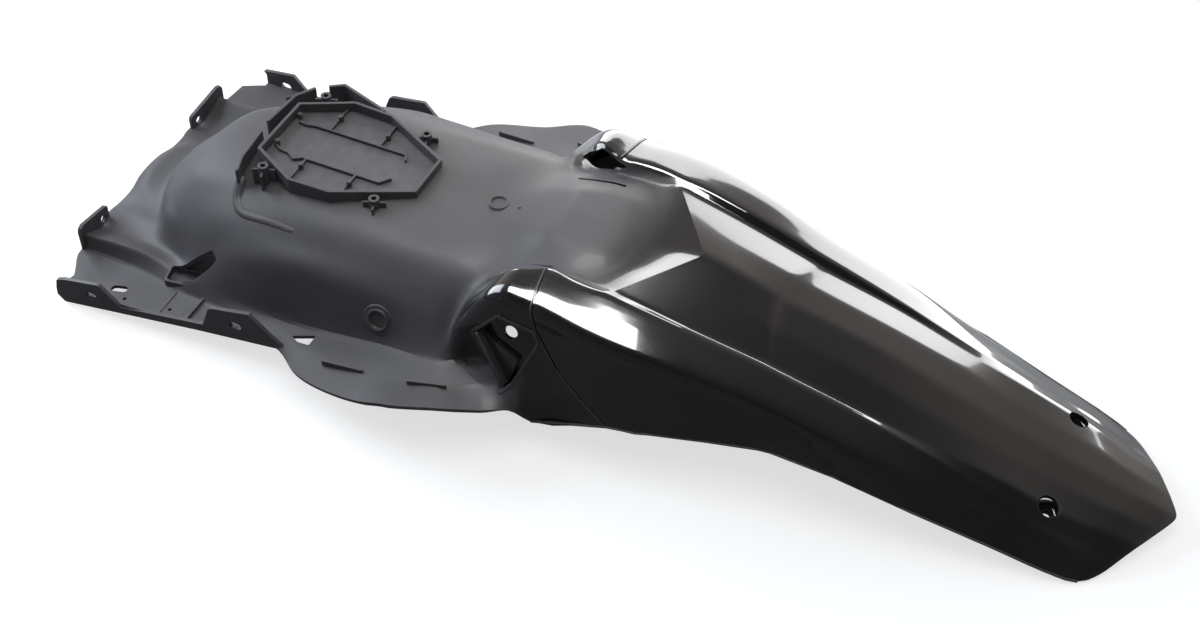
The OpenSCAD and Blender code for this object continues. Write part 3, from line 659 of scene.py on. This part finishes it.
RIGHT_CORNER = [(-5, 110), (5, 118), (11, 126), (31, 132), (31, 150), (-5, 150)]
SEAM_ROW, FOOT_ROW = 17, 16
TIP_HOLE, TIP_HEAD_D, TIP_SEAT = (747, 41), 14, 28.5


def grown(points, d):
    """The convex-ish outline moved outwards by d."""
    p = [Vector(q) for q in points]
    area = sum(p[k - 1].x * p[k].y - p[k].x * p[k - 1].y for k in range(len(p)))
    turn = 1 if area > 0 else -1
    out = []
    for k, v in enumerate(p):
        a, b = (v - p[k - 1]).normalized(), (p[(k + 1) % len(p)] - v).normalized()
        na, nb = Vector((a.y, -a.x)) * turn, Vector((b.y, -b.x)) * turn
        n = (na + nb).normalized()
        out.append(tuple(v + n * d / max(n.dot(na), 0.35)))
    return out


def pocket_outline(grow=0.0):
    flat = [(x - POCKET_O[0], (z - POCKET_O[2]) / math.cos(math.radians(FLANK_TILT))) for x, z in POCKET]
    return grown(flat, grow) if grow else flat


def on_flank():
    """The matrix from the flank's slope, its third axis inwards, to the right shoulder."""
    return move_to(POCKET_O, FLANK_TILT, "X") @ Matrix.Rotation(math.radians(90), 4, "X")


def pocket_part(outline, out, deep):
    """A prism on the right flank's slope, from out millimetres outside it to deep inside."""
    return turned(prism(outline, -out, deep), on_flank())


def pocket_hollow():
    return pocket_part(rounded(pocket_outline(), POCKET_CORNER), 14, POCKET_DEEP)


def recess_hollow():
    return prism(rounded(RECESS, RECESS_CORNER), RECESS_FLOOR, RECESS_FLOOR + 50)


def seam_line():
    """The line on the right shoulder where the pod's cap ends, from the crease down."""
    return half_rows()[SEAM_ROW][3 * sizes().across:]


def skin_tree():
    grid = skin_grid()
    n, m = grid.shape[:2]
    faces = [(a, a + 1, a + m + 1, a + m) for i in range(n - 1) for a in range(i * m, i * m + m - 1)]
    return BVHTree.FromPolygons([Vector(p) for p in grid.reshape(-1, 3)], faces)


def bead_on_skin(tree, points, towards, w, low, high, step=3.0):
    """A fine raised line round closed points that are dropped onto the skin in one direction."""
    points = [Vector(p) for p in points]
    points += points[:2]
    fine = []
    for a, b in zip(points, points[1:]):
        n = max(1, round((b - a).length / step))
        fine += [a.lerp(b, k / n) for k in range(n)]
    fine.append(points[-1])
    path, normals = [], []
    for p in fine:
        hit, normal, _, _ = tree.ray_cast(p, towards)
        if hit is not None:
            path.append(hit)
            normals.append(normal if normal.dot(towards) < 0 else -normal)
    return swept(path, normals, w, low, high)


def on_rim(part):
    """Puts a side plate drawn at y 0 on the ledge's toed-in edge."""
    place = Matrix.Translation((0, sizes().tab_y + math.tan(TOE) * TAB_X, 0))
    return turned(part, place @ Matrix.Rotation(-TOE, 4, "Z"))


def wall_path(points, t, low, high):
    """A thin upright wall along a line of points."""
    p = [Vector(q) for q in points]
    left, right = [], []
    for k, v in enumerate(p):
        a = (v - p[k - 1]).normalized() if k else (p[1] - p[0]).normalized()
        b = (p[k + 1] - v).normalized() if k < len(p) - 1 else a
        n = (Vector((-a.y, a.x)) + Vector((-b.y, b.x))).normalized()
        n /= max(n.dot(Vector((-a.y, a.x))), 0.5)
        left.append(tuple(v + n * t / 2))
        right.append(tuple(v - n * t / 2))
    return prism(left + right[::-1], low, high)


def catmull(points, n):
    """A smooth line through the points, with n steps between two."""
    p = [np.array(q, float) for q in points]
    p = [2 * p[0] - p[1], *p, 2 * p[-1] - p[-2]]
    out = []
    for k in range(1, len(p) - 2):
        ways = (p[k + 1] - p[k - 1]) / 2, (p[k + 2] - p[k]) / 2
        out += [cubic(p[k], p[k + 1], *ways, t / n) for t in range(n)]
    return np.array(out + [p[-2]])


def tube(path, r, sides):
    """A round bar along a path, with domed ends."""
    d = np.gradient(path, axis=0)
    d /= np.linalg.norm(d, axis=1)[:, None]
    dome = ((0.8, 0.35), (0.4, 0.8))
    line = [(path[0] - d[0] * r * out, k, d[0]) for out, k in dome]
    line += [(p, 1.0, q) for p, q in zip(path, d)]
    line += [(path[-1] + d[-1] * r * out, k, d[-1]) for out, k in reversed(dome)]
    points, faces = [], []
    for c, k, q in line:
        u = np.cross(q, (0, 0, 1))
        u /= np.linalg.norm(u)
        v = np.cross(u, q)
        for a in range(sides):
            t = 2 * math.pi * a / sides
            points.append(c + (u * math.cos(t) + v * math.sin(t)) * r * k)
    n = len(line)
    for i in range(n - 1):
        for a in range(sides):
            b = (a + 1) % sides
            faces.append((i * sides + a, i * sides + b, (i + 1) * sides + b, (i + 1) * sides + a))
    faces += [tuple(range(sides)), tuple(range((n - 1) * sides, n * sides))]
    return np.array(points), faces


def lathe(profile, n=56):
    """A lathe shape from (radius, height) pairs, open above and below."""
    points = [(r * math.cos(2 * math.pi * k / n), r * math.sin(2 * math.pi * k / n), h)
              for r, h in profile for k in range(n)]
    faces = []
    for k in range(n):
        q = (k + 1) % n
        for a in range(0, (len(profile) - 1) * n, n):
            faces.append((a + k, a + n + k, a + n + q, a + q))
    return np.array(points, float), faces


def lathe_mark(profile, move, n=56):
    """A lathe shape that starts on its axis, closed below."""
    points, faces = lathe(profile[1:], n)
    tip = len(points)
    faces += [(tip, k, (k + 1) % n) for k in range(n)] + [tuple(range(tip - n, tip))]
    return turned((np.concatenate([points, [(0, 0, profile[0][1])]]), faces), move)


# The moulding's pieces

class FENDER_OT_skin(bpy.types.Operator):
    """The curved skin with its pockets, windows, scoops and screw holes cut through"""
    bl_idname = "fender.skin"
    bl_label = "Skin"

    def execute(self, context):
        z = sizes()
        body = mesh_of("fender_skin", [shell(skin_grid(), z.shell_t)])
        seam = seam_line()
        seam = np.concatenate([seam[:1] * 2 - seam[1:2], seam, seam[-1:] * 2 - seam[-2:-1]])
        body = cut(body, both([swept(seam, over_path(seam), 1.2, -1.1, 4)]), "seams")
        mirrored_cuts = [prism(stadium(64, 122, 6, 13, math.radians(-12)), -5, 25),
                         prism(circle(74, 129.5, 3, 20), -5, 25), prism(circle(112, 126, 3, 20), -5, 35),
                         prism(rounded(WINDOW, 1.2), 15, 45), pocket_hollow(), recess_hollow(),
                         prism(rounded(SCOOP, 1.5), 50, 70, "y"), prism(circle(*TIP_HOLE, TIP_HEAD_D, 56), 20, 70)]
        body = cut(body, [prism(grown(TRAY, 1.2), z.saddle_h - 40, 140), *both(mirrored_cuts),
                          turned(box(0, 38, 0, 2.6, 0, 60), move_to((364, 42, 80), -3)),
                          prism(LEFT_CORNER, -20, 40), prism(RIGHT_CORNER, -20, 40)], "fender_skin")
        low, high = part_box("rear_fender")
        for v in body.vertices:
            v.co = [min(max(c, a), b) for c, a, b in zip(v.co, low, high)]
        piece("fender_skin", body, angle=24)
        return {"FINISHED"}


class FENDER_OT_rims(bpy.types.Operator):
    """The rims along the ledges with their raised, slotted tabs"""
    bl_idname = "fender.rims"
    bl_label = "Side Rims"

    def execute(self, context):
        for name, side, front, last_x in (("side_rim_left", -1, [(19, 5), (18.5, -2), (24, -8)], 21),
                                          ("side_rim_right", 1, [(31, 3), (31, -6), (34, -7.7)], 31)):
            plate = on_rim(prism(rounded(front + RIM + [(last_x, 14)], 2.0), -3, 0, "y"))
            if side < 0:
                plate = mirrored(plate)
            slots = [prism(stadium(x, h, SLOT_D, SLOT_L), side * 120, side * 150, "y") for x, h in TAB_SLOTS]
            piece(name, cut(mesh_of("rim", [plate]), slots, name), bevel=0.45, gloss=0.12)
        return {"FINISHED"}


class FENDER_OT_ears(bpy.types.Operator):
    """The upright ears beside the wheel arch"""
    bl_idname = "fender.ears"
    bl_label = "Front Ears"

    def execute(self, context):
        ear = turned(prism(rounded(EAR, 1.2), 0, 3, "x"), move_to((3.2, 42, 0), -8))
        hole = prism(circle(*EAR_HOLE, EAR_HOLE_D), -4, 20, "x")
        piece("front_ears", cut(mesh_of("ears", both([ear])), both([hole]), "front_ears"), bevel=0.5, gloss=0.05)
        return {"FINISHED"}


class FENDER_OT_ribs(bpy.types.Operator):
    """The small ribs across the ledges and the raised lines on the wings"""
    bl_idname = "fender.ribs"
    bl_label = "Ledge Ribs"

    def execute(self, context):
        low = lambda x: np.interp(x, [16, 25, 140, 216], [-2, -9, 10, 20])
        ribs = [box(x, x + 2, 106, ledge_edge(x), low(x) + 2, low(x) + 7) for x in (105, 129)]
        for length, height, place, turn, slope in ((32, 4.6, (251, 136, 30), -4, -5), (28, 5, (320, 137, 44), -14, -3)):
            move = move_to(place, turn) @ move_to((0, 0, 0), slope, "Y")
            ribs.append(turned(box(0, length, 0, 2, 0, height), move))
        piece("ledge_ribs", both(ribs), bevel=0.4)
        return {"FINISHED"}


class FENDER_OT_tray(bpy.types.Operator):
    """The eight-sided tray on the saddle with the ribs on its floor"""
    bl_idname = "fender.tray"
    bl_label = "Tray"

    def execute(self, context):
        z = sizes()
        floor = z.rim_h - TRAY_DEEP
        ring = mesh_of("tray_ring", [prism(rounded(grown(TRAY, 2.5), 1.2), z.saddle_h - 13, z.rim_h)])
        inside = prism(rounded(TRAY, 1.0), z.saddle_h - 20, z.rim_h + 5)
        piece("tray_wall", cut(ring, [inside], "tray_wall"), bevel=0.4)
        piece("tray_ribs", [wall_path(p, 1.6, floor - 0.5, floor + 2.5) for p in (
            [(146, 16), (153, 15), (160, 17), (236, 18), (239, 12)],
            [(143, -13), (150, -17), (158, -18), (164, -22), (170, -18), (233, -17), (239, -9)],
            [(172, 18), (172, 46)], [(214, 18), (214, 42)], [(173, -18), (173, -46)], [(214, -18), (214, -42)])],
            bevel=0.35)
        piece("tray_floor", [prism(grown(TRAY, 1.25), floor - z.shell_t, floor)])
        return {"FINISHED"}


def field_on_points(name, tree, places, values):
    """Runs a tree on a mesh of points and gives the result as a plain mesh."""
    points = bpy.data.meshes.new(name)
    points.from_pydata([tuple(p) for p in laid(places)], [], [])
    obj = bpy.data.objects.new(name, points)
    bpy.context.scene.collection.objects.link(obj)
    m = obj.modifiers.new(name, "NODES")
    m.node_group = tree
    sockets = {s.name: s.identifier for s in tree.interface.items_tree if s.in_out == "INPUT"}
    for k, v in values.items():
        m[sockets[k]] = v
    bpy.context.view_layer.update()
    return taken_off(obj, name)


def vector_node(tree, *values):
    return node(tree, "ShaderNodeCombineXYZ", dict(enumerate(values))).outputs[0]


def cylinder_node(tree, diameter, depth, lift, sides=32):
    inputs = {"Vertices": sides, "Radius": times(tree, diameter, 0.5), "Depth": depth}
    made = node(tree, "GeometryNodeMeshCylinder", inputs).outputs["Mesh"]
    move = {"Geometry": made, "Translation": vector_node(tree, 0.0, 0.0, lift)}
    return node(tree, "GeometryNodeTransform", move).outputs[0]


def stand_on_points(tree, given, result, shape):
    """Ends a tree: the shape on each point, made real, in the plastic."""
    on = node(tree, "GeometryNodeInstanceOnPoints", {"Points": given["Geometry"], "Instance": shape})
    real = node(tree, "GeometryNodeRealizeInstances", {0: on.outputs[0]})
    feed(tree, result[0], node(tree, "GeometryNodeSetMaterial", {0: real.outputs[0], "Material": plastic()}).outputs[0])
    return tree


def boss_tree():
    """A screw boss with a blind hole and crossed gussets, its top on the point."""
    floats = {"Diameter": 0.008, "Hole": 0.004, "Height": 0.022, "Gusset": 0.017, "Gusset Wall": 0.0016}
    t, given, result = new_group("GeometryNodeTree", "Gusseted Boss", "Geometry", floats, ("Geometry",), "Geometry")
    height = given["Height"]
    post = cylinder_node(t, given["Diameter"], height, times(t, height, -0.5))
    drill = cylinder_node(t, given["Hole"], 0.024, 0.0)
    join = node(t, "GeometryNodeJoinGeometry", {0: post})
    for turn in (20, 110):
        size = vector_node(t, given["Gusset"], given["Gusset Wall"], math_node(t, "SUBTRACT", height, 0.003))
        lower = vector_node(t, 0.0, 0.0, times(t, math_node(t, "ADD", height, 0.004), -0.5))
        cube = node(t, "GeometryNodeMeshCube", {"Size": size}).outputs["Mesh"]
        move = {"Geometry": cube, "Translation": lower, "Rotation": (0, 0, math.radians(turn))}
        feed(t, join.inputs[0], node(t, "GeometryNodeTransform", move).outputs[0])
    whole = node(t, "GeometryNodeMeshBoolean", operation="UNION", solver="EXACT")
    feed(t, whole.inputs["Self Intersection"], True)
    feed(t, whole.inputs["Mesh 2"], join.outputs[0])
    less = node(t, "GeometryNodeMeshBoolean", {"Mesh 1": whole.outputs[0], "Mesh 2": drill},
                operation="DIFFERENCE", solver="EXACT")
    return stand_on_points(t, given, result, less.outputs[0])


def peg_tree():
    """A short round peg on the point."""
    t, given, result = new_group("GeometryNodeTree", "Tray Peg", "Geometry",
                                 {"Diameter": 0.004, "Height": 0.0055}, ("Geometry",), "Geometry")
    height = given["Height"]
    return stand_on_points(t, given, result,
                           cylinder_node(t, given["Diameter"], height, times(t, height, 0.5), 24))


class FENDER_OT_bosses(bpy.types.Operator):
    """The gusseted screw bosses beside the tray and the pegs on its floor"""
    bl_idname = "fender.bosses"
    bl_label = "Bosses and Pegs"

    def execute(self, context):
        z = sizes()
        tops = [(x, k * y, z.rim_h + 0.5) for x, y in BOSSES for k in (-1, 1)]
        mesh = field_on_points("screw_bosses", boss_tree(), tops, {"Diameter": 0.008, "Hole": 0.004, "Height": 0.022})
        piece("screw_bosses", mesh, bevel=0.3, gloss=0.1)
        feet = [(x, y, z.rim_h - TRAY_DEEP - 0.5) for x, y in PEGS]
        piece("tray_pegs", field_on_points("tray_pegs", peg_tree(), feet, {"Height": 0.0055}), bevel=0.3, gloss=0.1)
        return {"FINISHED"}


class FENDER_OT_walls(bpy.types.Operator):
    """The second wall round the tray and the bead that runs down the left side"""
    bl_idname = "fender.walls"
    bl_label = "Outer Wall and Bead"

    def execute(self, context):
        z = sizes()
        piece("outer_wall", [wall_path(path, 2.5, z.saddle_h - below, z.rim_h - short) for path, below, short in (
            ([(135, -52), (130, -37), (127, -6)], 22, 5), ([(127, 3), (130, 38), (139, 52)], 22, 3),
            ([(147, 58), (157, 65), (199, 52)], 20, 3))], bevel=0.4, gloss=0.05)
        path = catmull([(134, -47, 84), (138, -59, 75), (149, -67, 73), (171, -70, 77), (194, -72, 78.5)], 8)
        piece("side_bead", [tube(path, 4.5, 16)], gloss=0)
        return {"FINISHED"}


class FENDER_OT_marks(bpy.types.Operator):
    """The gate mark and dot on the saddle and the round pad on the left side wall"""
    bl_idname = "fender.marks"
    bl_label = "Gate Mark and Pad"

    def execute(self, context):
        h = sizes().saddle_h
        ring = [(0, 0.4), (5.3, 0.4), (5.9, 1.3), (6.7, 1.8), (7.3, 1.4), (7.7, 0.2), (7.8, -2)]
        dot = [(0, 0.7), (0.9, 0.6), (1.5, 0.1), (1.6, -4)]
        piece("gate_mark", [lathe_mark(ring, move_to((322, 0, h + 1.8))), lathe_mark(dot, move_to((338, 0, h + 5.4)))],
              angle=40)
        pad = [(0, 1.2), (5.6, 1.2), (6.2, 1.8), (6.6, 3.3), (7.6, 3.8), (8.4, 3.4), (8.7, 2.6), (11.2, 2.5),
               (11.9, 1.8), (12, -1.5)]
        piece("wall_pad", [lathe_mark(pad, move_to((277, -99.5, 53), 69, "X"))], angle=40)
        return {"FINISHED"}


class FENDER_OT_pockets(bpy.types.Operator):
    """The lined pockets in the shoulders with their webs and fine beads, and the blind recesses at the arch"""
    bl_idname = "fender.pockets"
    bl_label = "Pockets"

    def execute(self, context):
        mesh = mesh_of("pocket", both([pocket_part(rounded(pocket_outline(2.4), 4), -0.6, POCKET_DEEP + 3)]))
        # One pass each: cutters that overlap leave the pocket full
        for hollow in (pocket_hollow(), pocket_part(circle(0.5, 8, 10), 20, 40)):
            mesh = cut(mesh, both([hollow]), "shoulder_pockets")
        piece(mesh.name, mesh, bevel=0.35, gloss=1)
        web = pocket_part([(-22, 4), (-20, 5.5), (4.5, -29), (3, -31.5)], 0, 11)
        step = pocket_part([(-21, 4), (10.5, -9), (4.5, -31)], -6.5, 11)
        # The webs' low gloss makes them lighter grey than the polished pod: painted highlights along their edges.
        piece("pocket_webs", both([web]), bevel=0.5, gloss=0.3)
        piece("pocket_steps", both([step]), bevel=0.6, gloss=1)
        # The lower edges' low gloss makes them lighter grey than the polished tail: a painted highlight line along the
        # bottom edge.
        piece("lower_edges", both([self.lower_edge()]), bevel=0.6, gloss=0.1)
        move = on_flank()
        rim = [move @ Vector((u, v, -30)) for u, v in rounded(pocket_outline(0.8), POCKET_CORNER)]
        inwards = (move.to_3x3() @ Vector((0, 0, 1))).normalized()
        # The rims' low gloss makes them lighter grey than the polished pod: a painted highlight round the pocket's
        # edge.
        piece("pocket_rims", both([bead_on_skin(skin_tree(), rim, inwards, 2.0, -1.6, 0.9)]), bevel=0.85, gloss=0.2)
        lip, cap = control_rows()[14:16]
        ribs = []
        for k in (0.8, 0.95):
            a, b = (lip[j] * (1 - k) + cap[j] * k for j in (4, 5))
            path = [a * (1 - u) + b * u for u in (0.06, 0.35, 0.65, 0.95)]
            ribs.append(swept(path, over_path(path), 1.2, -1.2, 1.4))
        # The bead beside the seam's groove, given a low gloss with the ribs below, shows as a light grey line: a
        # painted highlight along the seam.
        seam = seam_line() - (1.5, 0, 0)
        ribs.append(swept(seam, over_path(seam), 1.0, -1.2, 0.3))
        # The low gloss lightens the ribs and the seam bead on the polished cap into painted highlight lines.
        piece("cap_ribs", both(ribs), bevel=0.4, gloss=0.3)
        cup = mesh_of("recess", both([prism(rounded(grown(RECESS, 2), 3), RECESS_FLOOR - 3, RECESS_FLOOR + 5)]))
        piece("arch_recess", cut(cup, both([recess_hollow()]), "arch_recess"), bevel=0.35, gloss=0)
        piece("arch_gusset", both([prism(GUSSET, 84, 86.5, "y")]), bevel=0.4, gloss=0)
        return {"FINISHED"}

    def lower_edge(self):
        """The bead that stiffens the right flank's lower edge. Where it is placed it is given a low gloss, so it shows
        a lighter grey line, a painted highlight along the edge.
        """
        edge = half_rows()[FOOT_ROW:, -1]
        out = over_path(half_rows()[FOOT_ROW:, -3:].reshape(-1, 3))[1::3]
        out = np.array([(0, n[1], n[2]) if n[1] > 0 else (0, -n[1], -n[2]) for n in out])
        out /= np.linalg.norm(out, axis=1)[:, None]
        edge, out = (np.array([v[k] * (1 - u) + v[k + 1] * u for k in range(len(v) - 1) for u in (0, 0.25, 0.5, 0.75)]
                              + [v[-1]]) for v in (edge, out))
        return swept(edge, out, 1.5, -1.6, 0.5)


class FENDER_OT_tail(bpy.types.Operator):
    """The recessed screw seats near the tip, each on its boss"""
    bl_idname = "fender.tail"
    bl_label = "Tail Seats"

    def execute(self, context):
        profile = [(3.25, -4.5), (3.25, -0.3), (3.6, 0), (6.6, 0), (7.0, 0.5), (7.0, 4.2), (9.5, 3.2), (9.5, -4.5)]
        seat = lathe(profile + profile[:1])
        piece("tail_seats", both([turned(seat, move_to((*TIP_HOLE, TIP_SEAT)))]), gloss=1, angle=40)
        return {"FINISHED"}


# The studio

class FENDER_OT_stage(bpy.types.Operator):
    """The camera, the pale floor, the lamps and the room that the plastic mirrors"""
    bl_idname = "fender.stage"
    bl_label = "Stage"

    def execute(self, context):
        scene, st = context.scene, context.scene.studio_settings
        scene.view_settings.view_transform = "Standard"
        cam = bpy.data.cameras.new("Photo Camera")
        cam.lens, cam.sensor_width, cam.clip_end = st.lens, 36, 50
        scene.camera = bpy.data.objects.new("Photo Camera", cam)
        scene.collection.objects.link(scene.camera)
        a, e, r = (math.radians(v) for v in (st.turn, st.tilt, st.roll))
        sky = Vector((0, 0, 1))
        ahead = Vector((-math.sin(a), math.cos(a), 0))
        right = ahead.cross(sky)
        look = ahead * math.cos(e) - sky * math.sin(e)
        up = ahead * math.sin(e) + sky * math.cos(e)
        side = right * math.cos(r) + up * math.sin(r)
        top = up * math.cos(r) - right * math.sin(r)
        m = Matrix((side, top, -look)).transposed().to_4x4()
        m.translation = Vector(st.place)
        scene.camera.matrix_world = m
        floor = bpy.data.meshes.new("studio_floor")
        corners = [(x * FLOOR_HALF, y * FLOOR_HALF, 0) for x, y in ((-1, -1), (1, -1), (1, 1), (-1, 1))]
        floor.from_pydata(corners, [], [(0, 1, 2, 3)])
        floor.materials.append(floor_material(st))
        ground = bpy.data.objects.new("studio_floor", floor)
        scene.collection.objects.link(ground)
        # The softboxes that only the gloss shows: one over the near shoulder, one low behind the far one
        self.lamp("Shoulder Softbox", (-0.18, 0.20, 1.3), (-0.18, 0.20, 0), 0.78, 0.45, st.shoulder_box, 8,
                  diffuse=False)
        self.lamp("Back Window", (0.02, 0.42, 0.165), (0.02, 0, 0.165), 0.92, 0.29, st.back_window, 16.5,
                  diffuse=False)
        # The soft light that shows the grain
        self.lamp("Left Softbox", (-1.5, 0.15, 0.75), (-0.15, 0, 0.08), 1.0, 1.0, st.left_box,
                  colour=(0.84, 0.91, 1.0))
        self.lamp("Top Softbox", (0.1, -0.25, 1.9), (0.05, 0, 0), 1.3, 1.3, st.top_box, glossy=False)
        world_room(scene)
        return {"FINISHED"}

    def lamp(self, name, place, aim, w, h, power, roll=0, colour=(1, 1, 1), diffuse=True, glossy=True):
        data = bpy.data.lights.new(name, "AREA")
        data.shape, data.size, data.size_y, data.energy, data.color = "RECTANGLE", w, h, power, colour
        obj = bpy.data.objects.new(name, data)
        bpy.context.scene.collection.objects.link(obj)
        d = Vector(aim) - Vector(place)
        turn = d.to_track_quat("-Z", "Y").to_matrix() if abs(d.x) + abs(d.y) > 1e-6 else Matrix.Identity(3)
        obj.rotation_euler = (turn @ Matrix.Rotation(math.radians(roll), 3, "Z")).to_euler()
        obj.location = place
        obj.visible_camera, obj.visible_diffuse, obj.visible_glossy = False, diffuse, glossy


def axes_of(tree, coordinates):
    """The x, y and z outputs of one of the texture coordinates."""
    return node(tree, "ShaderNodeSeparateXYZ", {0: node(tree, "ShaderNodeTexCoord").outputs[coordinates]}).outputs


def floor_material(st):
    """A pale floor to the eye, darker towards the camera's side in what the plastic mirrors and takes up."""
    m = bpy.data.materials.new("Studio Floor")
    t = bare_tree(m)
    lit = node(t, "ShaderNodeBsdfDiffuse", {"Color": (*[c * 0.5 for c in st.floor], 1)})
    glow = node(t, "ShaderNodeEmission", {"Color": (0.995, 0.997, 1.0, 1), "Strength": 0.68})
    seen = node(t, "ShaderNodeAddShader", {0: lit.outputs[0], 1: glow.outputs[0]})
    shade = ramp_node(t, math_node(t, "ADD", axes_of(t, "Object")["Y"], 0.5), [(0.32, 0.16), (0.8, 0.9)])
    away = node(t, "ShaderNodeBsdfDiffuse", {"Color": shade})
    eye = node(t, "ShaderNodeLightPath").outputs["Is Camera Ray"]
    mix = node(t, "ShaderNodeMixShader", {0: eye, 1: away.outputs[0], 2: seen.outputs[0]})
    node(t, "ShaderNodeOutputMaterial", {0: mix.outputs[0]})
    return m


def world_room(scene):
    """Even light for the plastic's colour, a room that is dark on the camera's side for its gloss, white to the eye."""
    scene.world = bpy.data.worlds.new("Studio Room")
    t = bare_tree(scene.world)
    axes = axes_of(t, "Generated")
    y = math_node(t, "ADD", times(t, axes["Y"], 0.5), 0.5)
    even = node(t, "ShaderNodeBackground", {
        "Color": (0.96, 0.98, 1.0, 1), "Strength": ramp_node(t, y, [(0.0, 0.2), (0.5, 0.38), (1.0, 0.55)])})
    side = ramp_node(t, y, [(0.0, (0.12, 0.12, 0.13)), (0.38, (0.13, 0.13, 0.135)), (0.55, (0.30, 0.29, 0.28)),
                            (0.72, (0.66, 0.62, 0.58)), (1.0, (0.70, 0.66, 0.62))])
    high = ramp_node(t, axes["Z"], [(0.0, 1.25), (0.28, 1.1), (0.66, 0.75), (0.86, 0.42), (1.0, 0.3)])
    both_ways = node(t, "ShaderNodeMix", {0: 1.0, 6: side, 7: high}, data_type="RGBA", blend_type="MULTIPLY")
    room = node(t, "ShaderNodeBackground", {"Color": both_ways.outputs[2]})
    back = node(t, "ShaderNodeBackground", {"Color": (0.985, 0.985, 0.98, 1)})
    path = node(t, "ShaderNodeLightPath").outputs
    mixed = node(t, "ShaderNodeMixShader", {0: path["Is Glossy Ray"], 1: even.outputs[0], 2: room.outputs[0]})
    last = node(t, "ShaderNodeMixShader", {0: path["Is Camera Ray"], 1: mixed.outputs[0], 2: back.outputs[0]})
    node(t, "ShaderNodeOutputWorld", {0: last.outputs[0]})


class FENDER_PT_panel(bpy.types.Panel):
    """Lists the fender's pieces and their sizes"""
    bl_idname = "FENDER_PT_panel"
    bl_label = "Rear Fender"
    bl_space_type = "VIEW_3D"
    bl_region_type = "UI"
    bl_category = "Fender"

    def draw(self, context):
        for group in (context.scene.fender_sizes, context.scene.fender_finish, context.scene.studio_settings):
            box_ = self.layout.box()
            for name in group.bl_rna.properties.keys():
                if name not in ("rna_type", "name"):
                    box_.prop(group, name)
        for op in OPERATORS:
            self.layout.operator(op.bl_idname)


OPERATORS = (FENDER_OT_skin, FENDER_OT_rims, FENDER_OT_ears, FENDER_OT_ribs, FENDER_OT_tray, FENDER_OT_bosses,
             FENDER_OT_walls, FENDER_OT_marks, FENDER_OT_pockets, FENDER_OT_tail, FENDER_OT_stage)
CLASSES = (FenderSizes, FenderFinish, StudioSettings, *OPERATORS, FENDER_PT_panel)


def register():
    for c in CLASSES:
        bpy.utils.register_class(c)
    bpy.types.Scene.fender_sizes = bpy.props.PointerProperty(type=FenderSizes)
    bpy.types.Scene.fender_finish = bpy.props.PointerProperty(type=FenderFinish)
    bpy.types.Scene.studio_settings = bpy.props.PointerProperty(type=StudioSettings)


def unregister():
    del bpy.types.Scene.fender_sizes, bpy.types.Scene.fender_finish, bpy.types.Scene.studio_settings
    for c in reversed(CLASSES):
        bpy.utils.unregister_class(c)


def main():
    register()
    for op in OPERATORS:
        group, name = op.bl_idname.split(".")
        getattr(getattr(bpy.ops, group), name)()


if __name__ == "__main__":
    main()
